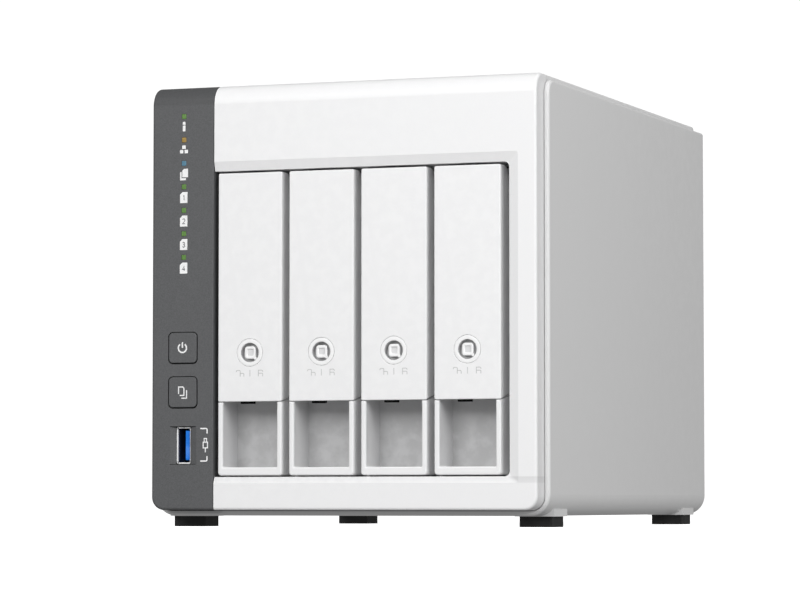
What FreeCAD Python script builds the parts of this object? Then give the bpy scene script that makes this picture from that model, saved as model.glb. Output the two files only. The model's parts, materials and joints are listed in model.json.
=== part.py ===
"""Four-bay desktop network storage unit, modelled as a bench technician would take it apart.

Frame: +Z up, the front faces -Y, the origin is on the table under the middle of the case.
Sizes are millimetres and live in the sheet "dims"; every feature is bound to its cells.
"""
import FreeCAD, Part

import os
import re
import Sketcher

from FreeCAD import Rotation, Vector

OUT = "parts"
NEAR = 0.01

DIMENSIONS = {
    # case
    "case_width": 160.0, "case_depth": 219.0, "case_height": 169.0,
    "shell_lift": 4.2, "shell_wall": 1.8, "shell_radius": 8.0, "shell_inner_radius": 5.3,
    "shell_setback": 8.6, "shell_corner": 5.5, "shell_round": 1.2, "rim_step": 2.1,
    "rear_recess": 6.0, "seam": 0.3, "root": 0.2, "past": 1.0,
    # front bezel and control panel
    "bezel_depth": 11.5, "bezel_wall": 2.2, "bezel_corner": 5.0, "bezel_nose": 7.5,
    "bezel_round": 1.1, "bezel_web": 1.6, "strip_width": 25.7,
    "strip_round": 0.4, "mouth_right": 66.96, "mouth_low": 18.9, "mouth_top": 135.7,
    "mouth_corner": 2.0, "flare_width": 3.7, "flare_low": 2.4, "flare_depth": 1.0,
    "flare_corner": 3.2, "mouth_wall": 1.3,
    # top cover
    "cover_wall": 1.6, "cover_skirt": 21.0, "cover_round": 1.8,
    # drive bays
    "bay_pitch": 29.26, "bay_first": -37.345, "tray_width": 26.25, "tray_inset": 0.8,
    "tray_low": 19.43, "tray_top": 134.83, "tray_split": 47.15, "tray_gap": 0.3,
    "pocket_depth": 14.7, "pocket_side": 1.95, "pocket_floor": 3.1, "pocket_back": 1.5,
    "plate_front": 13.3, "plate_thick": 1.8, "sled_half": 13.6, "sled_top": 134.4,
    "sled_wall": 1.0, "sled_end": 50.0, "arm_low": 26.3, "arm_high": 128.1,
    "air_slot_half": 3.0, "air_slot_pitch": 8.0, "air_slot_low": 52.0, "air_slot_top": 118.0,
    "window_first": -78.0, "window_pitch": 42.0, "window_long": 34.0, "window_low": 40.0,
    "window_top": 114.0,
    # tray handle, its pin and its key lock
    "handle_depth": 10.1, "handle_wall": 1.6, "handle_back_round": 5.0, "handle_rise": 2.33,
    "handle_top_round": 0.8, "handle_edge": 0.4,
    "pin_back": 4.0, "pin_height": 126.0, "pin_radius": 1.2, "pin_fit": 0.05,
    "lug_radius": 2.1, "lug_half": 5.0, "lug_play": 0.6, "lug_slot": 15.0, "pin_half": 12.2,
    "latch_left": 3.8, "latch_right": 1.9, "latch_front": 0.9, "latch_back": 4.2, "latch_tall": 6.0,
    "lock_height": 66.15, "lock_radius": 5.25, "lock_fit": 0.1, "lock_depth": 7.6,
    "well_radius": 3.7, "well_depth": 2.4, "drum_width": 4.5, "drum_tall": 4.8,
    "drum_set": 0.35, "drum_round": 1.0, "key_width": 2.6, "key_depth": 1.0,
    "nub_left": 1.2, "nub_right": 2.45, "nub_low": 2.5, "nub_top": 1.2, "barrel_proud": 0.05,
    "shaft_radius": 2.2, "shaft_fit": 0.07, "cam_width": 3.0, "cam_long": 7.5, "cam_thick": 1.2,
    "cam_gap": 0.4,
    # 3.5-inch drive
    "drive_thick": 26.1, "drive_tall": 101.6, "drive_long": 147.0, "drive_rear": 57.0,
    "drive_low": 26.4, "screw_radius": 1.7, "screw_head": 3.0, "screw_head_thick": 1.5,
    "screw_rear": 28.5, "screw_front": 130.1, "screw_x": 0.55, "screw_play": 0.1,
    "screw_bite": 4.0, "screw_sink": 1.0,
    # cage
    "cage_front": -97.0, "cage_rear": 61.7, "cage_sheet": 1.0, "cage_left": -53.0,
    "cage_right": 66.0, "cage_floor": 19.0, "cage_roof": 134.9,
    # backplane and its connectors
    "board_thick": 1.6, "backplane_front": 62.0, "socket_width": 5.0, "socket_long": 43.0,
    "socket_deep": 9.5, "socket_low": 34.0, "socket_side": 11.8, "socket_play": 0.6,
    "socket_recess": 7.0, "socket_lip": 1.4, "socket_slot": 5.0, "backplane_low": 20.0,
    "backplane_top": 134.0, "air_low": 30.0, "air_top": 124.0, "air_half": 7.0, "air_shift": 4.0,
    # fan
    "fan_size": 120.0, "fan_thick": 25.0, "fan_x": 8.0, "fan_z": 85.0, "fan_bore": 57.5,
    "fan_corner": 5.0, "fan_screw_offset": 52.5, "fan_hub": 20.0, "fan_blade_reach": 55.5,
    "fan_shaft": 1.5, "fan_shaft_fit": 0.05, "blade_thick": 1.3, "blade_chord": 22.0,
    "blade_pitch": 52.0, "blade_middle": 10.0, "flange_thick": 4.0, "bore_wall": 1.8,
    "strut_half": 2.0, "strut_thick": 3.5, "sleeve_radius": 6.0, "sleeve_front": 18.0,
    "sleeve_rear": 3.0, "hub_wall": 1.5, "hub_gap": 1.0, "fan_hole": 2.15, "fan_screw": 2.0,
    "fan_screw_head": 3.6, "fan_head_thick": 1.6, "fan_screw_long": 14.0,
    # rear sheets
    "rear_sheet": 1.2, "io_right": -50.3, "rear_low": 8.0, "rear_top": 166.9,
    "grille_pitch": 7.0, "grille_hex": 5.6, "grille_reach": 53.0,
    "case_screw_x": 73.0, "case_screw_low": 14.0, "case_screw_high": 134.0,
    "case_screw_radius": 1.45, "case_screw_head": 2.9, "case_head_thick": 1.7,
    "case_screw_long": 6.0, "boss_size": 8.2, "hole_play": 0.1,
    # boards on the left
    "main_x": -75.6, "main_front": -88.0, "main_rear": 101.0, "main_low": 19.0, "main_top": 128.0,
    "panel_board_back": 12.1, "panel_board_left": -75.4, "panel_board_right": -54.7,
    "panel_board_low": 16.0, "panel_board_top": 160.0, "switch_half": 3.1, "switch_deep": 3.0,
    "sink_front": -40.0, "sink_rear": 4.0, "sink_low": 74.0, "sink_top": 118.0, "sink_base": 3.0,
    "sink_tall": 13.0, "fin_thick": 1.4, "fin_first": 75.0, "fin_pitch": 5.0,
    "cell_y": 40.0, "cell_z": 40.0, "cell_radius": 10.0, "cell_thick": 4.2,
    # buttons
    "button_x": -64.8, "power_z": 68.25, "copy_z": 51.25, "button_size": 11.7,
    "button_window": 12.4, "button_round": 1.6, "cap_deep": 2.6, "flange_width": 1.0,
    "flange_tall": 0.9, "flange_back": 3.6, "stem_half": 2.0, "stem_gap": 4.3, "lap": 0.05,
    # status lights
    "light_x": -64.6, "light_first": 157.3, "light_pitch": 9.04, "light_size": 1.9,
    "light_set": 0.05, "light_gap": 0.4,
    # front USB socket
    "usb_x": -64.7, "usb_z": 31.0, "usb_thick": 5.9, "usb_tall": 14.2, "usb_sheet": 0.35,
    "usb_deep": 13.5, "usb_set": 0.9, "usb_play": 0.15, "usb_board_play": 0.4, "tongue_set": 0.6,
    "tongue_far": 2.1, "tongue_near": 0.25, "tongue_half": 5.6, "scoop_depth": 1.0,
    "scoop_radius": 15.9,
    # rear ports, down one column
    "port_x": -64.6, "jack_wide": 15.9, "jack_high": 13.2, "jack_z": 118.0, "jack_pitch": 22.0,
    "rear_usb_z": 72.0, "rear_usb_pitch": 20.0, "power_jack_z": 26.0, "power_jack_radius": 4.3,
    "power_bore": 2.85, "power_pin": 1.05, "power_half": 5.0, "power_deep": 14.0,
    "power_bore_deep": 11.0, "power_nose": 3.0, "power_pin_set": 1.5,
    "reset_z": 38.5, "reset_radius": 1.5, "reset_flange": 1.0, "reset_set": 0.3,
    "reset_back": 3.6, "reset_gap": 0.4, "reset_switch_half": 3.0, "reset_switch_rear": 5.0,
    "reset_switch_front": 9.0, "port_play": 0.2, "port_proud": 0.2, "round_play": 0.3,
    "jack_deep": 21.0, "jack_nose": 5.0, "jack_hole": 12.0, "jack_hole_x": 3.4,
    "jack_hole_z": 5.9, "key_way_low": 3.3, "key_way_high": 5.2, "key_way_half": 3.1,
    "lock_slot_z": 150.0, "lock_slot_x": 3.5, "lock_slot_half": 1.5,
    # feet
    "foot_width": 13.2, "foot_deep": 12.9, "foot_height": 4.0, "foot_outer": 77.3,
    "foot_front": -89.16, "foot_rear": 83.95, "boss_margin": 1.4, "boss_outer": 78.3, "boss_over": 0.8,
}

BAYS = (1, 2, 3, 4)
FACE = "(-case_depth / 2)"
TRAY_FACE = "(-case_depth / 2 + tray_inset)"
SHELL_FRONT = "(-case_depth / 2 + shell_setback)"
INNER = "(case_width / 2 - rim_step)"
BEZEL_LOW = "(shell_lift + rim_step)"
STRIP_RIGHT = f"(-{INNER} + strip_width)"
REAR_FACE = "(case_depth / 2 - rear_recess)"
PLATE_FRONT = f"({TRAY_FACE} + plate_front)"
PIN_Y = f"({TRAY_FACE} + pin_back)"
PANEL_BOARD = f"({FACE} + panel_board_back)"
MAIN_FACE = "(main_x + board_thick)"
JACK_LEVELS = ("jack_z", "(jack_z - jack_pitch)")
REAR_USB_LEVELS = ("rear_usb_z", "(rear_usb_z - rear_usb_pitch)")
SCREW_ROWS = ("(drive_rear - screw_rear)", "(drive_rear - screw_front)")
FAN_REAR = "(case_depth / 2 - rear_recess - rear_sheet)"
FAN_FRONT = "(case_depth / 2 - rear_recess - rear_sheet - fan_thick)"

doc = FreeCAD.newDocument("network_storage")
sheet = doc.addObject("Spreadsheet::Sheet", "dims")
for row, (alias, value) in enumerate(DIMENSIONS.items(), start=1):
    sheet.set(f"A{row}", alias.replace("_", " "))
    sheet.set(f"B{row}", str(value))
    sheet.setAlias(f"B{row}", alias)
doc.recompute()
subparts = []


def bind(obj, prop, formula):
    """Drive a property by a formula written with the sheet's aliases."""
    named = re.sub(r"[a-z_]+", lambda word: "dims." + word.group(), str(formula))
    obj.setExpression(prop, named)


def size(alias):
    """The number in one cell of the sheet."""
    return getattr(sheet, alias)


def move(obj, x="0", y="0", z="0"):
    for axis, formula in zip("xyz", (x, y, z)):
        bind(obj, f"Placement.Base.{axis}", formula)
    return obj


def block(x, y, z):
    """A box between a low and a high face along each axis."""
    solid = doc.addObject("Part::Box", "block")
    for (low, high), side in zip((x, y, z), ("Length", "Width", "Height")):
        bind(solid, side, f"({high}) - ({low})")
    return move(solid, x[0], y[0], z[0])


def around(centre, half):
    """The low and high ends of a span about its centre."""
    return f"{centre} - ({half})", f"{centre} + ({half})"


TURN_TO = {
    "x": Rotation(Vector(0, 1, 0), 90),
    "y": Rotation(Vector(1, 0, 0), -90),
    "z": Rotation(),
}


def rod(axis, centre, radius, low, high):
    """A round bar along an axis; centre gives the other two coordinates in X, Y, Z order."""
    solid = doc.addObject("Part::Cylinder", "rod")
    bind(solid, "Radius", radius)
    bind(solid, "Height", f"({high}) - ({low})")
    solid.Placement = FreeCAD.Placement(Vector(), TURN_TO[axis])
    place = list(centre)
    place.insert("xyz".index(axis), low)
    return move(solid, *place)


def fuse(*solids):
    if len(solids) == 1:
        return solids[0]
    joined = doc.addObject("Part::MultiFuse", "joined")
    joined.Shapes = list(solids)
    joined.Refine = True
    return joined


def group(*solids):
    """Separate solids kept together in one object."""
    kept = doc.addObject("Part::Compound", "group")
    kept.Links = list(solids)
    return kept


def cut(base, *tools):
    result = doc.addObject("Part::Cut", "cut")
    result.Base = base
    result.Tool = fuse(*tools)
    return result


def along(edge, axis):
    """True for a straight edge that runs along the named axis."""
    if edge.Curve.TypeId != "Part::GeomLine":
        return False
    direction = edge.Curve.Direction
    return abs(abs(getattr(direction, axis)) - 1) < NEAR


def middle(edge):
    return edge.valueAt((edge.FirstParameter + edge.LastParameter) / 2)


def at(value, target):
    return abs(value - target) < NEAR


def soften(solid, radius_alias, wanted):
    """Round the edges of a Part solid that a test picks."""
    doc.recompute()
    radius = size(radius_alias)
    picked = [n for n, edge in enumerate(solid.Shape.Edges, start=1) if wanted(edge)]
    rounded = doc.addObject("Part::Fillet", "softened")
    rounded.Base = solid
    rounded.Edges = [(n, radius, radius) for n in picked]
    return rounded


def hexagons(centre_x, centre_z, low, high):
    """The grille's hexagonal holes, in rows a little under one pitch apart."""
    pitch = size("grille_pitch")
    row_step = pitch * 3 ** 0.5 / 2
    reach = size("grille_reach")
    rows = int(reach / row_step)
    prisms = []
    for line in range(-rows, rows + 1):
        shift = (line % 2) * pitch / 2
        for step in range(-rows - 2, rows + 3):
            across, up = step * pitch + shift, line * row_step
            if across ** 2 + up ** 2 > reach ** 2:
                continue
            prism = doc.addObject("Part::Prism", "grille_hole")
            prism.Polygon = 6
            bind(prism, "Circumradius", "grille_hex / 1.7321")
            bind(prism, "Height", f"({high}) - ({low})")
            prism.Placement = FreeCAD.Placement(Vector(), TURN_TO["y"])
            move(prism, f"{centre_x} + {across:.3f}", low, f"{centre_z} + {up:.3f}")
            prisms.append(prism)
    return group(*prisms)


# --- PartDesign helpers: bodies whose sketches lie on their own XZ or XY plane ---------------

def new_body(name, x, y, z):
    body = doc.addObject("PartDesign::Body", name)
    return move(body, x, y, z)


def sketch_on(body, role, level="0"):
    """An empty sketch on one of the body's origin planes, moved along the plane's normal."""
    plane = next(item for item in body.Origin.OriginFeatures if item.Role == role)
    sketch = body.newObject("Sketcher::SketchObject", "outline")
    sketch.AttachmentSupport = [(plane, "")]
    sketch.MapMode = "FlatFace"
    bind(sketch, "AttachmentOffset.Base.z", level)
    return sketch


def add_rectangle(sketch, left, low, wide, tall):
    """A rectangle placed and sized from the sketch's origin by four bound distances."""
    start = sketch.GeometryCount
    corners = [Vector(1, 1, 0), Vector(5, 1, 0), Vector(5, 5, 0), Vector(1, 5, 0)]
    for n in range(4):
        sketch.addGeometry(Part.LineSegment(corners[n], corners[(n + 1) % 4]), False)
    for n in range(4):
        link = Sketcher.Constraint("Coincident", start + n, 2, start + (n + 1) % 4, 1)
        sketch.addConstraint(link)
    for n, kind in enumerate(("Horizontal", "Vertical", "Horizontal", "Vertical")):
        sketch.addConstraint(Sketcher.Constraint(kind, start + n))
    spans = (("DistanceX", (-1, 1, start, 1), left),
             ("DistanceY", (-1, 1, start, 1), low),
             ("DistanceX", (start, 1, start, 2), wide),
             ("DistanceY", (start + 1, 1, start + 1, 2), tall))
    for kind, points, formula in spans:
        index = sketch.addConstraint(Sketcher.Constraint(kind, *points, 1.0))
        bind(sketch, f"Constraints[{index}]", formula)


def pad(body, rectangles, depth, role="XZ_Plane"):
    """Pad rectangles from the body's front face towards its back."""
    sketch = sketch_on(body, role)
    for rectangle in rectangles:
        add_rectangle(sketch, *rectangle)
    feature = body.newObject("PartDesign::Pad", "pad")
    feature.Profile = sketch
    feature.Reversed = True
    bind(feature, "Length", depth)
    doc.recompute()
    return feature


def pocket(body, rectangles, start, depth):
    """Cut rectangles into the body from a level behind its front face, towards the back."""
    before = body.Shape.Volume
    sketch = sketch_on(body, "XZ_Plane", f"-({start})")
    for rectangle in rectangles:
        add_rectangle(sketch, *rectangle)
    feature = body.newObject("PartDesign::Pocket", "pocket")
    feature.Profile = sketch
    bind(feature, "Length", depth)
    doc.recompute()
    if body.Shape.Volume >= before:
        raise RuntimeError(f"a pocket in {body.Name} cuts nothing")
    return feature


def frustum(deep, x, z, back_x, back_z):
    """A block whose front and back rectangles differ; its front face lies at Y = 0."""
    wedge = doc.addObject("Part::Wedge", "frustum")
    names = (("Xmin", "Xmax"), ("Zmin", "Zmax"), ("X2min", "X2max"), ("Z2min", "Z2max"), ("Ymin", "Ymax"))
    for pair, span in zip(names, (x, z, back_x, back_z, ("0", deep))):
        for prop, formula in zip(pair, span):
            bind(wedge, prop, formula)
    return wedge


def round_body(body, radius, wanted):
    """Fillet the edges of the body's tip that a test picks."""
    tip = body.Tip
    names = [f"Edge{n}" for n, edge in enumerate(tip.Shape.Edges, start=1) if wanted(edge)]
    feature = body.newObject("PartDesign::Fillet", "fillet")
    feature.Base = (tip, names)
    bind(feature, "Radius", radius)
    doc.recompute()
    return feature


def keep(label, solid, x=None, y=None, z=None):
    """Name a finished sub-part and, where asked, bind its place."""
    solid.Label = label
    if x is not None:
        move(solid, x, y or "0", z or "0")
    subparts.append(solid)
    return solid


# --- casing -----------------------------------------------------------------------------------

def make_case_shell():
    """Two sides and the bottom in one piece, with the foot pads and the rear screw posts."""
    wide = size("case_width")
    tall = size("case_height") - size("rim_step") - size("shell_lift")
    deep = size("case_depth") - size("shell_setback")
    tall_formula = "case_height - rim_step - shell_lift"
    body = new_body("shell_body", "-case_width / 2", SHELL_FRONT, "shell_lift")
    pad(body, [("0", "0", "case_width", tall_formula)], "case_depth - shell_setback")
    pocket(body, [("shell_wall", "shell_wall", "case_width - 2 * shell_wall", tall_formula)],
           "-past", "case_depth")
    inner = size("shell_wall")
    round_body(body, "shell_inner_radius",
               lambda e: along(e, "y") and at(middle(e).z, inner) and not at(middle(e).x, wide / 2))
    round_body(body, "shell_radius", lambda e: along(e, "y") and at(middle(e).z, 0))
    round_body(body, "shell_corner",
               lambda e: along(e, "x") and at(middle(e).y, 0) and at(middle(e).z, tall))

    def outer_rim(edge):
        spot = middle(edge)
        on_side = at(spot.x, 0) or at(spot.x, wide)
        if at(spot.y, deep) or (along(edge, "y") and not at(spot.z, tall)):
            return False
        if on_side:
            return True
        radius = size("shell_radius")
        from_corner = min(spot.x, wide - spot.x)
        on_arc = from_corner < radius and spot.z < radius
        reach = ((from_corner - radius) ** 2 + (spot.z - radius) ** 2) ** 0.5
        return at(spot.y, 0) and (at(spot.z, 0) or (on_arc and at(reach, radius)))

    round_body(body, "shell_round", outer_rim)
    pads, posts, holes = [], [], []
    for side in (-1, 1):
        for front in ("foot_front", "foot_rear"):
            pads.append(block(
                sorted_span(side, "foot_outer - foot_width - boss_margin", "boss_outer"),
                (f"{front} - boss_margin", f"{front} + foot_deep + boss_margin"),
                ("foot_height", "shell_lift + shell_wall + boss_over")))
        for height in ("case_screw_low", "case_screw_high"):
            posts.append(block(
                sorted_span(side, "case_screw_x - boss_size / 2", "case_width / 2 - shell_wall + root"),
                (f"{REAR_FACE} - rear_sheet - boss_size", f"{REAR_FACE} - rear_sheet"),
                around(height, "boss_size / 2")))
            holes.append(rod("y", (f"{side} * case_screw_x", height), "case_screw_radius + lap",
                             f"{REAR_FACE} - rear_sheet - case_screw_long", REAR_FACE))
    keep("case_shell", cut(fuse(body, *pads, *posts), *holes))


def foot_span(side):
    return sorted_span(side, "foot_outer - foot_width", "foot_outer")


def sorted_span(side, near, far):
    """A span measured out from the middle plane, on the chosen side of it."""
    return (near, far) if side > 0 else (f"-({far})", f"-({near})")


def make_feet():
    feet = []
    for side in (-1, 1):
        for front in ("foot_front", "foot_rear"):
            length = (front, f"{front} + foot_deep")
            feet.append(block(foot_span(side), length, ("0", "foot_height")))
    keep("rubber_feet", group(*feet))


def make_top_cover():
    """A lid with skirts that hang inside the shell's sides."""
    start = f"({FACE} + bezel_depth + seam)"
    top = size("case_height")
    level = ("case_height - cover_skirt", "case_height")
    lid = block((f"-{INNER}", INNER), (start, REAR_FACE), level)
    lid = soften(lid, "cover_round",
                 lambda e: along(e, "x") and at(middle(e).z, top) and middle(e).y > 0)
    lid = soften(lid, "shell_round", lambda e: along(e, "y") and at(middle(e).z, top))
    room = block((f"-{INNER} + cover_wall", f"{INNER} - cover_wall"),
                 (f"{start} - past", f"{REAR_FACE} + past"),
                 ("case_height - cover_skirt - past", "case_height - cover_wall"))
    keep("top_cover", cut(lid, room))


def nose_and_rim(body, wide, tall, low_corner_x):
    """The front moulding's common rounds: bottom corner, top bullnose and the front outer rim."""
    round_body(body, "bezel_corner",
               lambda e: along(e, "y") and at(middle(e).z, 0) and at(middle(e).x, low_corner_x))
    round_body(body, "bezel_nose",
               lambda e: along(e, "x") and at(middle(e).y, 0) and at(middle(e).z, tall))
    deep = size("bezel_depth")
    radius = size("bezel_corner")

    def rim(edge):
        spot = middle(edge)
        if at(spot.y, deep) or (along(edge, "y") and not at(spot.z, tall)):
            return False
        if at(spot.x, low_corner_x):
            return True
        aside = abs(spot.x - low_corner_x)
        reach = ((aside - radius) ** 2 + (spot.z - radius) ** 2) ** 0.5
        on_arc = aside < radius and spot.z < radius and at(reach, radius)
        return at(spot.y, 0) and (at(spot.z, 0) or on_arc)

    round_body(body, "bezel_round", rim)


def make_front_bezel():
    """The white moulding round the drive bays, open on its left against the control panel."""
    wide = 2 * (size("case_width") / 2 - size("rim_step")) - size("strip_width") - size("seam")
    tall = size("case_height") - size("shell_lift") - size("rim_step")
    left = f"({STRIP_RIGHT} + seam)"
    wide_formula = f"{INNER} - {left}"
    body = new_body("bezel_body", left, FACE, BEZEL_LOW)
    pad(body, [("0", "0", wide_formula, f"case_height - {BEZEL_LOW}")], "bezel_depth")
    nose_and_rim(body, wide, tall, wide)
    mouth_wide = f"mouth_right - {left}"
    low = f"mouth_low - {BEZEL_LOW}"
    pocket(body, [("-past", low, f"{mouth_wide} + past", "mouth_top - mouth_low")],
           "-past", "bezel_depth + 2 * past")
    mouth_x = size("mouth_right") + size("case_width") / 2 - size("rim_step")
    mouth_x -= size("strip_width") + size("seam")
    round_body(body, "mouth_corner", lambda e: along(e, "y") and at(middle(e).x, mouth_x))
    top_bar = (
        "bezel_wall", f"mouth_top + mouth_wall - {BEZEL_LOW}",
        f"{wide_formula} - 2 * bezel_wall", "case_height - bezel_wall - mouth_top - mouth_wall")
    right_bar = (
        f"{mouth_wide} + mouth_wall", "bezel_wall",
        f"{wide_formula} - ({mouth_wide}) - mouth_wall - bezel_wall",
        f"mouth_top + mouth_wall - {BEZEL_LOW} - bezel_wall + past")
    low_bar = ("bezel_wall", "bezel_wall", f"{mouth_wide} + mouth_wall",
               f"{low} - mouth_wall - bezel_wall")
    for bar in (top_bar, right_bar, low_bar):
        pocket(body, [bar], "bezel_wall + bezel_web", "bezel_depth")
    flare = frustum("flare_depth",
                    (f"{left} - past", "mouth_right + flare_width"),
                    ("mouth_low - flare_low", "mouth_top + flare_width"),
                    (f"{left} - past", "mouth_right"), ("mouth_low", "mouth_top"))
    flare = soften(move(flare, "0", FACE, "0"), "flare_corner",
                   lambda e: e.BoundBox.YLength > NEAR and middle(e).x > 0)
    keep("front_bezel", cut(body, flare))


def make_control_panel():
    """The dark strip with the status lights, two buttons and the front socket."""
    tall = size("case_height") - size("shell_lift") - size("rim_step")
    wide = size("strip_width")
    body = new_body("panel_body", f"-{INNER}", FACE, BEZEL_LOW)
    pad(body, [("0", "0", "strip_width", f"case_height - {BEZEL_LOW}")], "bezel_depth")
    nose_and_rim(body, wide, tall, 0.0)
    pocket(body, [("bezel_wall", "bezel_wall", "strip_width - 2 * bezel_wall",
                   f"case_height - {BEZEL_LOW} - 2 * bezel_wall")], "bezel_wall", "bezel_depth")
    window_x = f"button_x + {INNER} - button_window / 2"
    windows = [(window_x, f"{z} - {BEZEL_LOW} - button_window / 2", "button_window", "button_window")
               for z in ("power_z", "copy_z")]
    pocket(body, windows, "-past", "bezel_depth")
    wall = size("bezel_wall")

    def window_corner(edge):
        spot = middle(edge)
        inside = wall + 1 < spot.x < wide - wall - 1 and wall + 1 < spot.z < tall - wall - 1
        return along(edge, "y") and inside

    round_body(body, "button_round + (button_window - button_size) / 2", window_corner)
    pocket(body, [(f"light_x + {INNER} - light_size / 2 - lap",
                   f"light_first - {BEZEL_LOW} - light_size / 2 - lap - 6 * light_pitch",
                   "light_size + 2 * lap", "light_size + 2 * lap")], "-past", "bezel_depth")
    lights = body.newObject("PartDesign::LinearPattern", "light_row")
    lights.Originals = [body.Tip]
    lights.Direction = (body.Tip.Profile[0], ["V_Axis"])
    bind(lights, "Length", "6 * light_pitch")
    lights.Occurrences = 7
    body.Tip = lights
    doc.recompute()
    pocket(body, [(f"usb_x + {INNER} - usb_thick / 2 - usb_play",
                   f"usb_z - {BEZEL_LOW} - usb_tall / 2 - usb_play",
                   "usb_thick + 2 * usb_play", "usb_tall + 2 * usb_play")], "-past", "bezel_depth")
    scoop = rod("z", ("usb_x", f"{FACE} + scoop_depth - scoop_radius"), "scoop_radius",
                "usb_z - usb_tall / 2 - root", "usb_z + usb_tall / 2 + root")
    strip = cut(body, scoop)
    keep("control_panel", soften(strip, "strip_round", right_rim))


def right_rim(edge):
    """The strip's front edge along its right side."""
    spot = middle(edge)
    right = -size("case_width") / 2 + size("rim_step") + size("strip_width")
    return at(spot.x, right) and at(spot.y, -size("case_depth") / 2) and along(edge, "z")


def make_status_lights():
    lenses = []
    for n in range(7):
        height = f"light_first - {n} * light_pitch"
        lenses.append(block(around("light_x", "light_size / 2"),
                            (f"{FACE} + light_set", f"{PANEL_BOARD} - light_gap"),
                            around(height, "light_size / 2")))
    keep("status_lights", group(*lenses))


def make_front_button(label, height):
    """A cap with a retaining flange behind the panel and a stem that meets the switch."""
    cap = block(around("button_x", "button_size / 2"), (FACE, f"{FACE} + cap_deep"),
                around(height, "button_size / 2"))
    cap = soften(cap, "button_round", lambda e: along(e, "y"))
    flange = block(around("button_x", "button_window / 2 + flange_width"),
                   (f"{FACE} + cap_deep - lap", f"{FACE} + flange_back"),
                   around(height, "button_window / 2 + flange_tall"))
    stem = block(around("button_x", "stem_half"),
                 (f"{FACE} + flange_back - lap", f"{PANEL_BOARD} - stem_gap"),
                 around(height, "stem_half"))
    keep(label, fuse(cap, flange, stem))


def make_panel_board():
    board = block(("panel_board_left", "panel_board_right"),
                  (PANEL_BOARD, f"{PANEL_BOARD} + board_thick"),
                  ("panel_board_low", "panel_board_top"))
    hole = block(around("usb_x", "usb_thick / 2 + usb_board_play"),
                 (f"{PANEL_BOARD} - past", f"{PANEL_BOARD} + board_thick + past"),
                 around("usb_z", "usb_tall / 2 + usb_board_play"))
    keep("panel_board", cut(board, hole))
    switches = [block(around("button_x", "switch_half"), (f"{PANEL_BOARD} - switch_deep", PANEL_BOARD),
                      around(z, "switch_half")) for z in ("power_z", "copy_z")]
    keep("button_switches", group(*switches))


def usb_pieces(x, front, z, deep):
    """A type-A receptacle standing on edge: its folded metal shell and its plastic tongue."""
    outer = block(around(x, "usb_thick / 2"), (front, f"{front} + {deep}"), around(z, "usb_tall / 2"))
    cavity = block(around(x, "usb_thick / 2 - usb_sheet"),
                   (f"{front} - past", f"{front} + {deep} - usb_sheet"),
                   around(z, "usb_tall / 2 - usb_sheet"))
    side = f"{x} + usb_thick / 2 - usb_sheet"
    tongue = block((f"{side} - tongue_far", f"{side} - tongue_near"),
                   (f"{front} + tongue_set", f"{front} + {deep} - usb_sheet"),
                   around(z, "tongue_half"))
    return cut(outer, cavity), tongue


def make_front_usb():
    shell, tongue = usb_pieces("usb_x", f"({FACE} + usb_set)", "usb_z", "usb_deep")
    keep("front_usb_shell", shell)
    keep("front_usb_tongue", tongue)


# --- drive bays -------------------------------------------------------------------------------

def bay_x(bay):
    return f"bay_first + {bay - 1} * bay_pitch"


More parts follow.
